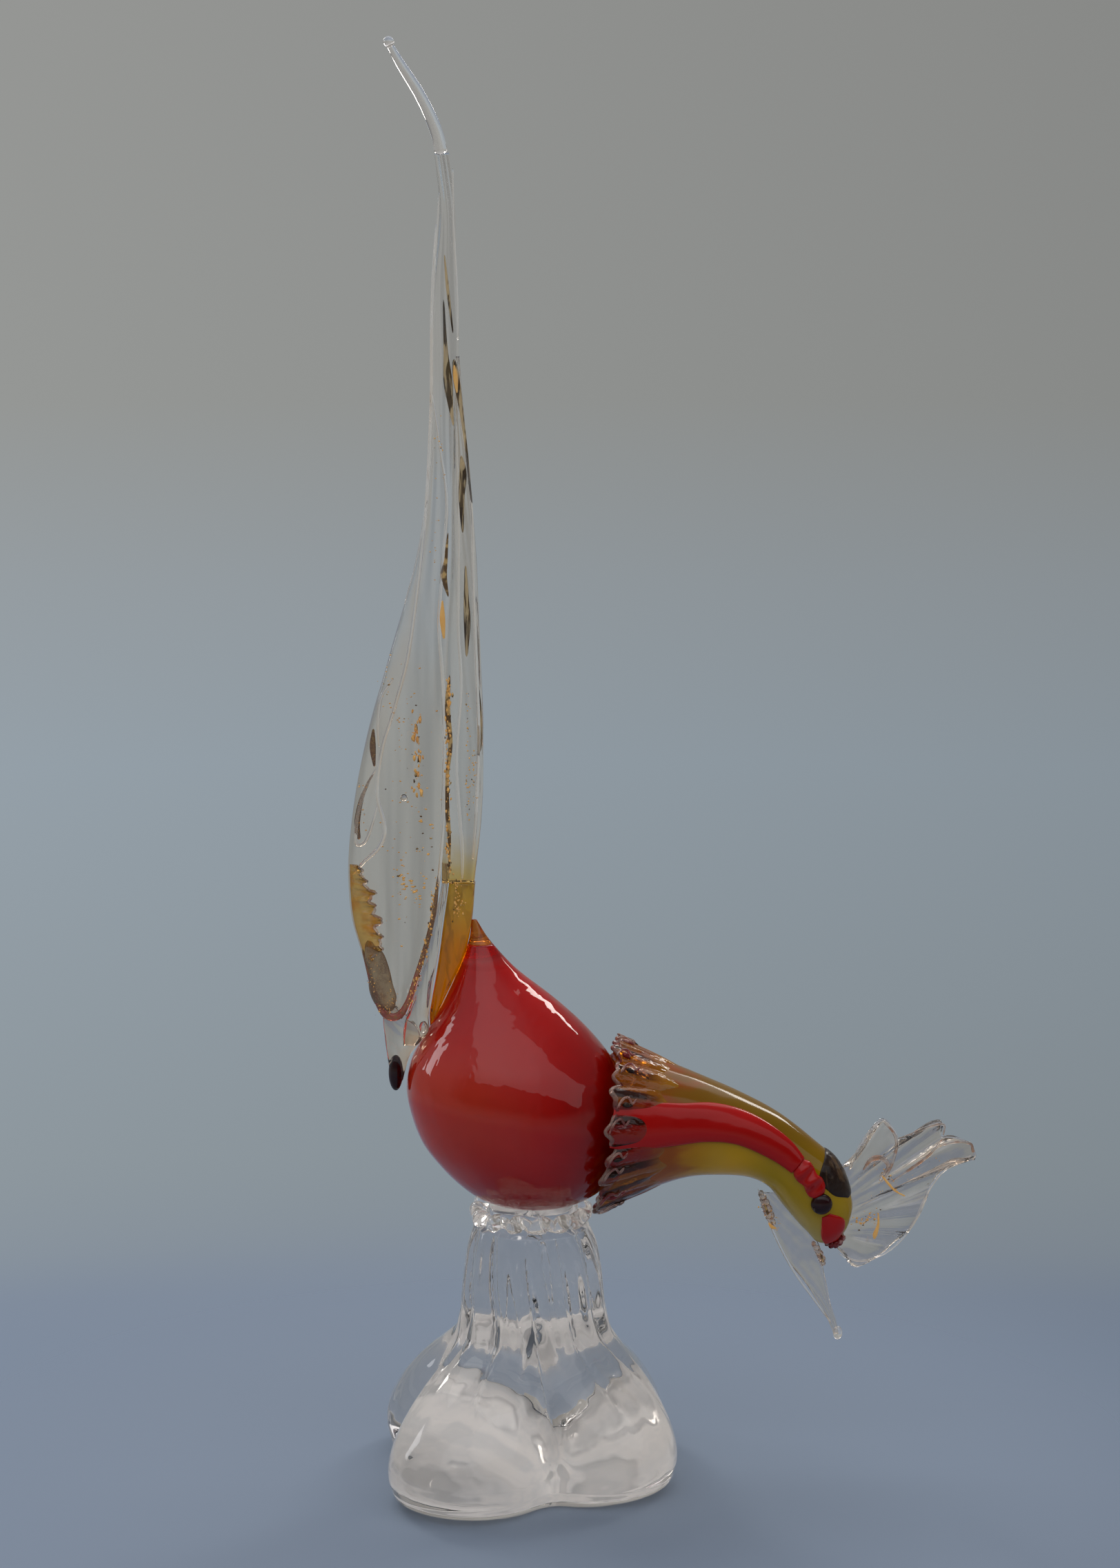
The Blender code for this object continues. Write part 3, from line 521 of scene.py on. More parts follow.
# height, stem radius, share of the lobes' reach, flute depth
FOOT_STATIONS = (
    (0.0, 20.0, 0.76, 0.0), (1.2, 20.0, 0.87, 0.0), (5.0, 20.0, 0.97, 0.0), (10.0, 20.0, 1.00, 0.0),
    (15.0, 20.0, 0.96, 0.2), (22.0, 20.2, 0.81, 0.5), (29.0, 20.4, 0.58, 0.9), (36.0, 20.6, 0.27, 1.5),
    (41.0, 20.7, 0.07, 2.0), (46.0, 20.4, 0.0, 2.3), (60.0, 18.7, 0.0, 2.1), (68.0, 17.4, 0.0, 1.5),
    (FOOT_TOP, 15.9, 0.0, 0.6),
)


def sharp_reach(angle):
    """Outermost disc each way, the pinches softened by a power sum."""
    reach = np.zeros_like(angle)
    for azimuth, distance, radius in FOOT_LOBES:
        turn = angle - math.radians(azimuth)
        under = np.maximum(radius ** 2 - (distance * np.sin(turn)) ** 2, 0.0)
        edge = np.maximum(distance * np.cos(turn) + np.sqrt(under), 1.0)
        reach += np.where(under > 0.0, edge, 1.0) ** FOOT_PINCH
    return reach ** (1.0 / FOOT_PINCH)


def lobe_reach(angle):
    """The same outline after the flame: averaged over a few degrees each way, so no pinch stays a crease."""
    return sum(sharp_reach(angle + math.radians(step)) for step in (-9, -6, -3, 0, 3, 6, 9)) / 7


def foot_grid(rows, around):
    """Radius = stem + share * (reach - LOBE_START) + flutes, the flutes leaning with height."""
    lift = np.linspace(0.0, 1.0, rows)
    heights = FOOT_TOP * (0.55 * lift + 0.45 * lift ** 2)
    stem, share, flute = (column[:, None] for column in spline(FOOT_STATIONS, heights).T)
    angle = turns(around)[None, :]
    lean = angle + 0.006 * (heights[:, None] - 20.0)      # radians a millimetre
    ribs = np.abs(np.cos(6.0 * lean + 0.4 + 0.35 * np.sin(2 * lean))) ** 0.5
    ribs = ribs * (0.8 + 0.25 * np.sin(3 * lean + 1.0)) + 0.10 * np.cos(17 * lean + 1.0)
    swell = 0.5 * np.sin(3 * angle + heights[:, None] * 0.07) * (1 - share)
    radius = stem + (lobe_reach(angle) - LOBE_START) * share + flute * (ribs - 0.55) + swell * 0.5
    rings = np.stack([radius * np.cos(angle), radius * np.sin(angle), heights[:, None] + 0 * angle], axis=2)
    post = np.array([(13.2, 73.6), (12.4, 75.0), (12.2, 77.2), (11.4, 78.1)])
    post_radius, post_height = post[:, :1], post[:, 1:]
    cap = np.stack([post_radius * np.cos(angle), post_radius * np.sin(angle),
                    post_height + 0 * angle], axis=2)
    return np.concatenate([rings, cap])


skin("foot_glass", foot_grid(190, 300), foot_finish, replaces=("foot_pedestal",), slot="clear_glass")

# %% [markdown]
# ## Ground base
# The underside was ground flat so that the bird stands steady, and that left it frosted.  Seen through the
# clear foot, the frosted face fills the lobes with soft grey light.  It is a thin pad just inside the
# bottom face.

# %% Ground base
# Painted light: the pad glows faintly bluish white, which brightens the lobes seen through the foot.
frost_finish = Finish("ground base", Roughness=0.7, Emission_Color=(0.94, 0.97, 1.0), Emission_Strength=0.05)
grind = frost_finish.rise(frost_finish.cloud(160.0, 4.0), 0.35, 0.65)
frost_finish.set("Base Color", frost_finish.blend(grind, (0.84, 0.86, 0.88), (1.0, 1.0, 1.0)))
polished = frost_finish.rise(frost_finish.cloud(48.0, 2.0, (1.0, 1.0, 1.0), 0.8), 0.40, 0.47)
frost_finish.set("Alpha", 0.42 + polished * 0.45)
BASE_INSET = 0.8
BASE_LOBES = 0.76          # the lobes' share at the bottom face, as in FOOT_STATIONS
# rings of the pad: share of its reach, height
BASE_RINGS = np.array([(0.5, 0.30), (0.9, 0.30), (1.0, 0.34), (1.0, 0.40), (0.9, 0.46), (0.5, 0.46)])
base_turn = turns(200)[None, :]
base_reach = LOBE_START + (lobe_reach(base_turn) - LOBE_START) * BASE_LOBES - BASE_INSET
base_reach = base_reach * BASE_RINGS[:, :1]
base_grid = np.stack([base_reach * np.cos(base_turn), base_reach * np.sin(base_turn),
                      BASE_RINGS[:, 1:] + 0 * base_turn], axis=2)
skin("foot_ground_base", base_grid, frost_finish, slot="clear_glass")

# %% [markdown]
# ## Crimped ring
# Where the stem meets the body, a thread of clear glass was laid round and pinched every few millimetres.
# The thread's path swings in and out and up and down, and it is fattest between pinches.

# %% Crimped ring
RING_CRIMPS = 14
RING_REACH = 14.3
RING_HEIGHT = 75.9
angle = turns(RING_CRIMPS * 24)
swing = np.cos(RING_CRIMPS * angle) + 0.35 * np.cos(5 * angle + 0.6)
reach = RING_REACH + 0.95 * swing
rise = 0.75 * np.sin(RING_CRIMPS * angle + 0.9) + 0.3 * np.sin(3 * angle)
ring_path = np.stack([-0.3 + reach * np.cos(angle), reach * np.sin(angle), RING_HEIGHT + rise], axis=1)
ring_radii = 1.75 + 0.35 * np.cos(RING_CRIMPS * angle + 0.5) + 0.12 * np.sin(31 * angle)
loop_skin("foot_ring_glass", thread_grid(ring_path, ring_radii, 20, 1.15, (0.0, 0.0, 1.0)), thread_finish,
          replaces=("foot_collar",), slot="clear_glass")

# %% [markdown]
# ## Body
# The teardrop is cased: opaque red under a clear ruby skin.  Level sections between a rear edge and a front
# edge give its shape, and the core is the same shape moved in along the skin's own normals.  The core stops
# short of the top, so light comes through the ruby there.

# %% Body
# station, height, rear edge, front edge
BODY_STATIONS = (
    (0.0, 78.4, 1.2, 2.0), (1.0, 79.0, -8.4, 10.6), (2.0, 80.8, -14.2, 16.0), (3.0, 84.4, -19.6, 21.0),
    (4.0, 90.0, -25.2, 25.2), (5.0, 97.0, -30.4, 27.4), (6.0, 105.0, -33.4, 27.8), (7.0, 112.5, -34.6, 26.2),
    (8.0, 120.0, -33.2, 22.4), (9.0, 128.5, -28.6, 15.6), (10.0, 137.0, -24.0, 6.6),
    (11.0, 145.5, -20.2, -3.8),
    (12.0, 153.8, -17.2, -11.2), (13.0, 159.8, -16.3, -15.0),
)
BODY_FLATNESS = 0.93


def body_grid(stations, inset, around=160):
    """Sections of the teardrop; a point moves in by `inset` along the cross product of the two tangents."""
    stations = np.asarray(stations, dtype=float)
    rows = spline(BODY_STATIONS, stations)
    above = np.minimum(stations + 0.02, BODY_STATIONS[-1][0])
    below = np.maximum(stations - 0.02, 0.0)
    slope = (spline(BODY_STATIONS, above) - spline(BODY_STATIONS, below)) / (above - below)[:, None]
    middle = (rows[:, 1:2] + rows[:, 2:3]) / 2
    half = (rows[:, 2:3] - rows[:, 1:2]) / 2
    climb = slope[:, 0:1]
    lean = (slope[:, 1:2] + slope[:, 2:3]) / 2
    spread = (slope[:, 2:3] - slope[:, 1:2]) / 2
    angle = turns(around)[None, :]
    flat = BODY_FLATNESS
    points = np.stack([middle + half * np.cos(angle), flat * half * np.sin(angle),
                       rows[:, 0:1] + 0 * angle], axis=2)
    normal = np.stack([flat * climb * np.cos(angle), climb * np.sin(angle),
                       -flat * (spread + lean * np.cos(angle))], axis=2)
    normal /= np.linalg.norm(normal, axis=2)[:, :, None]
    return points - inset * normal


CASING_TOP = 11.9
skin("body_casing_glass", body_grid(np.linspace(0.0, CASING_TOP, 200), 0.0), casing_finish,
     replaces=("body_casing",), slot="ruby_glass")
skin("body_core_glass", body_grid(np.linspace(0.25, 11.2, 160), 1.3), core_finish,
     replaces=("body_core",), slot="opaque_red_glass")
skin("body_tip_glass", body_grid(np.linspace(CASING_TOP + 0.01, 13.0, 40), 0.0, 80), tip_finish,
     replaces=("body_tip",), slot="amber_glass")

# %% [markdown]
# ## Neck and head
# The neck is one gather drawn forward and bent down.  Its sections stand square to the bend: each runs from a
# point on the crown line to one on the throat line, and has its own half width.

# %% Neck and head
# station, crown line x z, throat line x z, half width
NECK_STATIONS = (
    (0.0, 23.0, 125.0, 17.4, 77.4, 23.8), (1.0, 35.7, 119.9, 31.6, 82.8, 17.6),
    (2.0, 47.6, 115.0, 43.0, 86.4, 13.6), (3.0, 58.2, 110.3, 52.4, 87.0, 11.4),
    (4.0, 68.6, 104.6, 60.4, 86.3, 9.8), (5.0, 78.1, 97.2, 66.0, 83.5, 8.9),
    (6.0, 85.2, 90.2, 70.0, 78.3, 8.3), (7.0, 89.4, 80.0, 74.4, 73.0, 7.2),
    (8.0, 88.9, 73.4, 77.4, 69.8, 5.8), (9.0, 86.6, 68.2, 80.0, 66.4, 3.4),
)
LATERAL = np.array([0.0, 1.0, 0.0])


def neck_frame(at):
    """Centre, crown direction, half depth and half width at each station."""
    rows = spline(NECK_STATIONS, at)
    zero = np.zeros(len(rows))
    crown = np.stack([rows[:, 0], zero, rows[:, 1]], axis=1)
    throat = np.stack([rows[:, 2], zero, rows[:, 3]], axis=1)
    across = crown - throat
    depth = np.linalg.norm(across, axis=1) / 2
    return (crown + throat) / 2, across / (2 * depth[:, None]), depth, rows[:, 4]


def neck_points(at, angle, lift):
    """Points on the neck: centre + (depth + lift) cos * crown direction + (width + lift) sin * sideways."""
    centre, up, depth, width = neck_frame(at)
    angle = np.broadcast_to(angle, (len(at), np.shape(angle)[-1]))
    deep = (depth[:, None] + lift) * np.cos(angle)
    wide = (width[:, None] + lift) * np.sin(angle)
    return centre[:, None, :] + deep[:, :, None] * up[:, None, :] + wide[:, :, None] * LATERAL


neck_at = np.concatenate([np.linspace(0.45, 8.9, 160), 9.0 - 0.08 * np.linspace(1, 0, 8) ** 2])
sunk = np.where(neck_at < 1.5, -2.4 + 2.4 * np.clip((neck_at - 0.5) / 0.5, 0, 1), 0.0)
round_off = np.where(neck_at > 8.3, -1.6 * ((neck_at - 8.3) / 0.7) ** 3, 0.0)
skin("neck_glass", neck_points(neck_at, turns(120)[None, :], (sunk + round_off)[:, None]), neck_finish,
     replaces=("neck_core",), slot="olive_yellow_glass")

# %% [markdown]
# ## Ruff
# The amber collar was crimped where it was pressed onto the breast.  Round it go petals, deepest at the free
# edge, and the edge itself is scalloped.  A sleeve with an outer and an inner skin makes it, and a rolled lip
# follows its edge.

# %% Ruff
RUFF_END = 1.45
RUFF_PETALS = 19
ruff_turn = turns(RUFF_PETALS * 24)[None, :]
drift = 0.7 * np.sin(3 * ruff_turn) + 0.3 * np.sin(7 * ruff_turn)
petal = np.abs(np.cos(RUFF_PETALS / 2 * ruff_turn + drift))
ragged = 0.5 + 0.5 * np.sin(5 * ruff_turn + 0.7) * np.cos(2 * ruff_turn)
edge_start = (0.03 + 0.15 * (1 - petal ** 0.7) + 0.07 * ragged + 0.035 * np.sin(11 * ruff_turn + 1.0)
              + 0.03 * np.sin(29 * ruff_turn))
ruff_end = RUFF_END + 0.25 * np.sin(13 * ruff_turn) * np.sin(4 * ruff_turn + 1.0)
outward = np.linspace(0.0, 1.0, 60)[:, None]
inward = np.linspace(1.0, 0.0, 30)[:, None]


def ruff_skin(share, lift, crimp):
    """A skin of the sleeve: station from the ragged edge to the end, lifted by the petals near the edge."""
    at = edge_start + (ruff_end - edge_start) * share
    fade = np.clip(1 - share, 0, 1) ** 1.3
    centre, up, depth, width = (part.reshape(*at.shape, *part.shape[1:]) for part in neck_frame(at.ravel()))
    sink = 1.3 * np.clip((share - 0.5) / 0.5, 0, 1) ** 2
    raised = lift + crimp * fade * (petal ** 0.55 * 1.5 - 1.0) - sink
    deep = (depth + raised) * np.cos(ruff_turn)
    wide = (width + raised) * np.sin(ruff_turn)
    return centre + deep[:, :, None] * up + wide[:, :, None] * LATERAL


ruff_grid = np.concatenate([ruff_skin(outward, 0.55, 1.3), ruff_skin(inward, -1.4, 0.9)])
loop_skin("neck_ruff_glass", ruff_grid, ruff_finish, replaces=("neck_ruff",), slot="amber_glass")
lip_path = ruff_skin(np.zeros((1, 1)), -0.1, 1.3)[0]
wobble = 0.28 * np.sin(RUFF_PETALS * 2 * ruff_turn[0] + 1.0)
lip_radii = 0.55 + 0.20 * petal[0] + 0.20 * np.sin(7 * ruff_turn[0] + 0.5) * np.sin(13 * ruff_turn[0])
lip_path = lip_path + np.stack([wobble, 0 * wobble, 0 * wobble], axis=1)
loop_skin("neck_ruff_lip", thread_grid(lip_path, lip_radii, 14, ring_axis=(1.0, 0.0, 0.1)), lip_finish,
          slot="amber_glass")

# %% Ruff slots and curls
def on_neck(at, angle, lift):
    """One place on the neck: station, angle from the crown, height above the skin."""
    return tuple(neck_points(np.array([at]), np.array([[angle]]), lift)[0, 0])


slot_draw = np.random.default_rng(11)
for index, place in enumerate(turns(RUFF_PETALS)):
    start, reach = slot_draw.uniform(0.16, 0.30), slot_draw.uniform(0.18, 0.42)
    turn = place + slot_draw.uniform(-0.09, 0.09)
    fat = slot_draw.uniform(0.55, 0.95)
    runs = [(*on_neck(start + reach * share, turn, lift), radius * fat)
            for share, lift, radius in ((0.0, 1.2, 0.5), (0.3, 1.3, 1.0), (0.65, 1.0, 0.8), (1.0, 0.5, 0.3))]
    slot_finish = crown_finish if index % 3 else wine_finish
    thread(f"ruff_slot_{index}", runs, slot_finish, 18, 10, 0.9, slot="amber_glass")
    curl = [(*on_neck(start + along_by, turn + 0.5 * twist, 1.7 - 0.4 * along_by), 0.36)
            for along_by, twist in ((-0.12, -0.16), (-0.02, 0.10), (0.10, 0.18), (0.20, 0.04), (0.28, 0.16))]
    thread(f"ruff_curl_{index}", curl, lip_finish, 26, 9, 1.0, slot="amber_glass")

# %% [markdown]
# ## Strips, brows, cheeks, crown
# These bits were laid on soft and melted down, so each is a low lens on the skin of the neck.  A strip's
# width and height vary along it; the brow is the same strip pinched into beads.

# %% Strips, brows, cheeks, crown
def laid_on(stations, count, thickness, side, across=24):
    """A lens on the neck: at each station it spans centre +- half width, and stands up as a half ellipse."""
    at = np.linspace(stations[0][0], stations[-1][0], count)
    rows = spline(stations, at)
    centre, up, depth, width = neck_frame(at)
    spot = np.stack([rows[:, 0], np.zeros(count), rows[:, 1]], axis=1)
    offset = np.einsum("ij,ij->i", spot - centre, up)[:, None]
    turn = turns(2 * across)[None, :]
    span = np.cos(turn)
    tall = np.where(np.sin(turn) > 0, 1.0, -0.5) * np.abs(np.sin(turn)) ** 0.8
    lift = thickness[:, None] * tall
    place = np.clip((offset + span * rows[:, 2:3]) / depth[:, None], -0.985, 0.985)
    deep = (depth[:, None] + lift) * place
    wide = side * (width[:, None] + lift) * np.sqrt(1 - place ** 2)
    return centre[:, None, :] + deep[:, :, None] * up[:, None, :] + wide[:, :, None] * LATERAL


# station, centre line x z, half width
STRIPE_STATIONS = (
    (0.1, 22.2, 106.5, 5.4), (0.45, 26.9, 106.0, 6.3), (0.95, 33.5, 105.5, 6.2), (1.5, 40.1, 105.1, 5.7),
    (2.3, 49.0, 104.9, 5.1), (3.0, 56.6, 103.3, 4.5), (4.0, 65.9, 98.6, 3.9), (4.6, 70.8, 94.9, 3.3),
    (5.05, 73.9, 91.7, 2.7),
)
BROW_STATIONS = (
    (5.00, 73.6, 92.2, 1.9), (5.20, 75.0, 90.6, 2.8), (5.45, 76.4, 88.8, 2.9), (5.68, 77.5, 87.3, 2.4),
    (5.90, 78.5, 85.9, 2.9), (6.10, 79.2, 84.5, 2.7), (6.28, 79.9, 83.3, 1.6),
)
CHEEK_STATIONS = (
    (6.95, 81.8, 77.2, 1.3), (7.2, 82.9, 75.9, 2.5), (7.5, 83.7, 74.5, 3.3), (7.9, 84.0, 72.4, 3.5),
    (8.4, 83.8, 70.4, 3.0), (8.85, 83.5, 68.8, 1.9),
)
# station, how far round the crown in radians
CROWN_STATIONS = (
    (5.48, 0.25), (5.64, 0.80), (5.80, 1.12), (6.0, 1.20), (6.3, 1.14), (6.6, 0.95), (6.85, 0.50),
)


def taper(count, low=0.25, power=0.5):
    """Thickness share along a bit: it rises and falls as a sine to a small power."""
    return low + (1 - low) * np.sin(np.linspace(0.02, math.pi - 0.02, count)) ** power


EYE = (80.6, 80.5)
EYE_RADII = (3.0, 1.9, 3.0)
EYE_STATION = 6.6
stripe_lift = 1.6 * taper(110, 0.5) * np.clip(np.linspace(0.1, 3.6, 110), 0, 1)
brow_lift = 1.7 * (1.0 + 0.28 * np.cos(np.linspace(0, 5.2 * math.pi, 80) + math.pi)) * taper(80, 0.2)
cheek_lift = 0.9 * taper(60, 0.3)
eye_reach = float(neck_frame(np.array([EYE_STATION]))[3][0]) + 0.3
for word, side in (("left", 1.0), ("right", -1.0)):
    skin("neck_stripe_glass_" + word, laid_on(STRIPE_STATIONS, 110, stripe_lift, side), strip_finish,
         replaces=("neck_stripe_" + word,), slot="opaque_red_glass")
    skin("brow_glass_" + word, laid_on(BROW_STATIONS, 80, brow_lift, side), strip_finish,
         replaces=("brow_beads_" + word,), slot="opaque_red_glass")
    skin("cheek_glass_" + word, laid_on(CHEEK_STATIONS, 60, cheek_lift, side), strip_finish,
         replaces=("cheek_" + word,), slot="opaque_red_glass")
    bead("eye_glass_" + word, (EYE[0], side * eye_reach, EYE[1]), EYE_RADII, eye_finish,
         replaces=("eye_" + word,), slot="maroon_black_glass")

crown_at = np.linspace(CROWN_STATIONS[0][0], CROWN_STATIONS[-1][0], 60)
crown_half = spline(CROWN_STATIONS, crown_at)
crown_turn = turns(80)[None, :]
crown_lift = np.where(np.sin(crown_turn) > 0, 0.75, -0.4) * np.abs(np.sin(crown_turn)) ** 0.6
crown_lift = crown_lift * taper(60, 0.2)[:, None]
crown_grid = neck_points(crown_at, crown_half * np.cos(crown_turn), crown_lift)
skin("crown_glass", crown_grid, crown_finish, replaces=("crown_patch",), slot="dark_brown_glass")

# %% [markdown]
# ## Crest
# The comb is a very thin clear fan, pulled into three fingers and thrown into folds.  A ruled surface runs
# from its root on the head to its rim; folds grow toward the rim, and the rim is thicker, as a
# fire-polished edge is.

# %% Crest
CREST_ROOT = ((85.6, 88.6), (87.6, 85.2), (88.6, 80.0), (88.4, 74.6), (86.6, 70.2), (84.8, 66.4))
CREST_RIM = (
    (89.0, 90.0), (92.6, 95.6), (97.6, 102.0), (99.9, 101.0), (102.0, 97.4), (104.4, 98.2), (107.4, 99.6),
    (111.6, 101.8), (114.3, 101.6), (114.4, 97.0), (118.0, 97.4), (121.8, 96.2), (123.6, 92.6), (119.0, 91.0),
    (114.9, 88.4), (111.8, 83.2), (109.2, 77.6), (106.6, 72.0), (102.4, 67.0), (96.6, 62.6), (91.6, 60.7),
    (88.4, 62.2),
)


def even(points, count):
    """Points at even spacing along a smooth line through the given ones."""
    rows = np.column_stack([np.arange(len(points)), np.array(points, dtype=float)])
    fine = spline(rows, np.linspace(0, len(points) - 1, 1200))
    run = np.concatenate([[0.0], np.cumsum(np.linalg.norm(np.diff(fine, axis=0), axis=1))])
    want = np.linspace(0, run[-1], count)
    return np.stack([np.interp(want, run, fine[:, k]) for k in range(2)], axis=1)


def crest_middle(u, t):
    """Middle surface: root to rim by t, with folds whose height grows as t to the power 1.3."""
    root = even(CREST_ROOT, 600)
    rim = even(CREST_RIM, 600)
    index = np.clip((u * 599).astype(int), 0, 599)
    flat = root[index] * (1 - t[..., None]) + rim[index] * t[..., None]
    fold = 2.3 * t ** 1.3 * np.sin(2 * math.pi * (4.2 * u - 0.35 * t))
    fold = fold + 0.5 * t * np.sin(2 * math.pi * 11 * u)
    return np.stack([flat[..., 0], fold, flat[..., 1]], axis=-1)


def sheet(name, middle, half, finish, **more):
    """A thin solid round a grid of middle points: both skins stand off by `half` along the grid's normal."""
    down = np.gradient(middle, axis=0)
    over = np.gradient(middle, axis=1)
    normal = np.cross(down, over)
    normal /= np.maximum(np.linalg.norm(normal, axis=2), 1e-9)[:, :, None]
    front = middle + normal * half[:, :, None]
    back = middle - normal * half[:, :, None]
    rows, columns = middle.shape[:2]
    points = np.vstack([front.reshape(-1, 3), back.reshape(-1, 3)])
    low = (np.arange(rows - 1) * columns)[:, None] + np.arange(columns - 1)
    quads = np.stack([low, low + 1, low + columns + 1, low + columns], axis=2).reshape(-1, 4)
    border = np.concatenate([np.arange(columns - 1), np.arange(rows - 1) * columns + columns - 1,
                             (rows - 1) * columns + np.arange(columns - 1, 0, -1),
                             np.arange(rows - 1, 0, -1) * columns])
    after = np.roll(border, -1)
    back_start = rows * columns
    wall = np.stack([border, border + back_start, after + back_start, after], axis=1)
    faces = quads.tolist() + (quads[:, ::-1] + back_start).tolist() + wall.tolist()
    return make(name, points, faces, finish, **more)


u, t = np.meshgrid(np.linspace(0, 1, 260), np.linspace(0, 1, 70))
crest_half = 0.34 + 0.30 * t ** 10 + 0.35 * (1 - t) ** 6 + 0.10 * np.sin(2 * math.pi * 8.4 * u) * t
sheet("crest_glass", crest_middle(u, t), crest_half, thin_finish, replaces=("crest",), slot="clear_glass")

# %% Crest rims
CREST_RIMS = {
    "crest_rim_low": (
        thread_finish, (88.8, 0.2, 88, 0.4), (90.6, 1, 92.4, 0.4), (93.2, 1.6, 97, 0.36),
        (97.2, 1, 101.9, 0.4), (100.2, 0.2, 100.2, 0.36), (102, -0.8, 97.2, 0.32),
    ),
    "crest_rib_first": (
        vein_finish, (98, -1.2, 102, 0.16), (100.6, -1.6, 99.4, 0.36), (101.6, -2, 96, 0.44),
        (100.6, -1.8, 91, 0.48), (99, -1.6, 87.4, 0.48), (97.4, -1.2, 84.6, 0.24),
    ),
    "crest_rib_second": (
        vein_finish, (102.2, -1.2, 97.4, 0.2), (106.2, -1.6, 99, 0.36), (110.2, -1.4, 100.8, 0.4),
        (114.6, -1, 101.4, 0.32), (114.6, -1.4, 98.4, 0.24),
    ),
    "crest_rib_third": (
        vein_finish, (114.4, -1.4, 97.4, 0.2), (111.4, -2, 93.6, 0.4), (107.6, -2.2, 90.4, 0.48),
        (103.6, -1.8, 87.4, 0.32), (100.4, -1.2, 85, 0.16),
    ),
    "crest_rib_fourth": (
        vein_finish, (113.6, -1.2, 95.2, 0.16), (118, -1.4, 96.4, 0.32), (122, -1.2, 96, 0.4),
        (123.2, -0.8, 93.2, 0.32),
    ),
    "crest_rim_under": (
        thread_finish, (122.8, -0.6, 92.4, 0.28), (118.6, -1, 90.4, 0.36), (114.6, -1.2, 87.8, 0.36),
        (111, -1, 82.6, 0.36), (108.2, -0.8, 75.6, 0.36), (104, -0.8, 68.6, 0.32), (98.6, -0.6, 63.8, 0.32),
        (91.6, -0.4, 61.4, 0.32), (86, -0.2, 63.6, 0.24),
    ),
    "crest_white_fold": (
        vein_finish, (92.4, -1.6, 88.4, 0.24), (94.6, -2.2, 91.6, 0.72), (97.6, -2.2, 92, 0.8),
        (99.4, -2, 89.4, 0.56), (97, -1.8, 86.4, 0.32),
    ),
    "crest_gold_streak": (
        gold_finish, (97.6, -2.2, 87, 0.16), (99.4, -2.4, 84.8, 0.36), (101.4, -2.4, 82.6, 0.24),
        (104.2, -2.2, 81, 0.2),
    ),
    "crest_gold_drop": (
        gold_finish, (96.8, -1.8, 76, 0.16), (96.8, -1.9, 72.6, 0.36), (96, -1.8, 69.8, 0.64),
        (95.8, -1.7, 68.4, 0.24),
    ),
}
threads(CREST_RIMS, 70, 12, 0.7)

# %% [markdown]
# ## Beak
# The beak is a clear blade drawn down to a thread that ends in a tiny ball.  Its edges were pinched with
# toothed tongs near the root, and gold caught in the teeth.

# %% Beak
# height, rear edge x, front edge x, half thickness
BEAK_STATIONS = (
    (40.2, 84.8, 86.2, 0.6), (44.0, 83.3, 85.5, 0.7), (49.0, 80.6, 83.9, 0.8), (55.3, 76.6, 82.6, 0.9),
    (61.0, 72.2, 81.4, 1.0), (65.4, 69.8, 80.8, 0.9), (70.0, 67.8, 78.2, 0.8), (75.0, 66.0, 73.6, 0.7),
    (81.4, 63.7, 67.6, 0.5),
)


def leaf_grid(stations, rows, around, middle_share, bow, wave):
    """Level sections of a leaf: thin at its middle, thick at both edges, bowed sideways and rippled.

    Across the leaf runs p = cos(angle).  Half thickness = thick * (middle + (1 - middle) |p|^3) * |sin|^0.6.
    """
    low, high = stations[0][0], stations[-1][0]
    heights = np.linspace(low, high, rows)
    rear, front, thick = (column[:, None] for column in spline(stations, heights).T)
    angle = turns(around)[None, :]
    p = np.cos(angle)
    half = thick * (middle_share + (1 - middle_share) * np.abs(p) ** 3) * np.abs(np.sin(angle)) ** 0.6
    climb = (heights[:, None] - low) / (high - low)
    lean = bow * thick * (1 - p ** 2) * np.sin(math.pi * np.clip(climb * 1.1, 0, 1))
    ripple = wave * np.sin(5 * p + 9 * climb) * np.sin(14 * climb + 2 * p)
    x = (rear + front) / 2 + (front - rear) / 2 * p
    y = np.sign(np.sin(angle)) * half + lean + ripple * (1 - p ** 4)
    return np.stack([x, y, heights[:, None] + 0 * angle], axis=2)


skin("beak_glass", leaf_grid(BEAK_STATIONS, 120, 56, 0.55, 0.5, 0.15), thin_finish,
     replaces=("beak",), slot="clear_glass")
bead("beak_ball_glass", (86.0, 0.0, 40.4), (1.3, 1.2, 2.0), thread_finish, slot="clear_glass")


def toothed(name, stations, teeth, bite, finish, **more):
    """A curled edge: a thread whose radius and path swing once a tooth."""
    path, radii = along(stations, teeth * 16)
    phase = np.linspace(0, 2 * math.pi * teeth, teeth * 16)
    path[:, 0] += bite * np.sin(phase) * 0.6
    path[:, 1] += bite * np.cos(phase) * 0.5
    radii = round_ends(radii * (1 + 0.35 * np.sin(phase)), 6)
    return skin(name, thread_grid(path, radii, 16, 0.75), finish, **more)


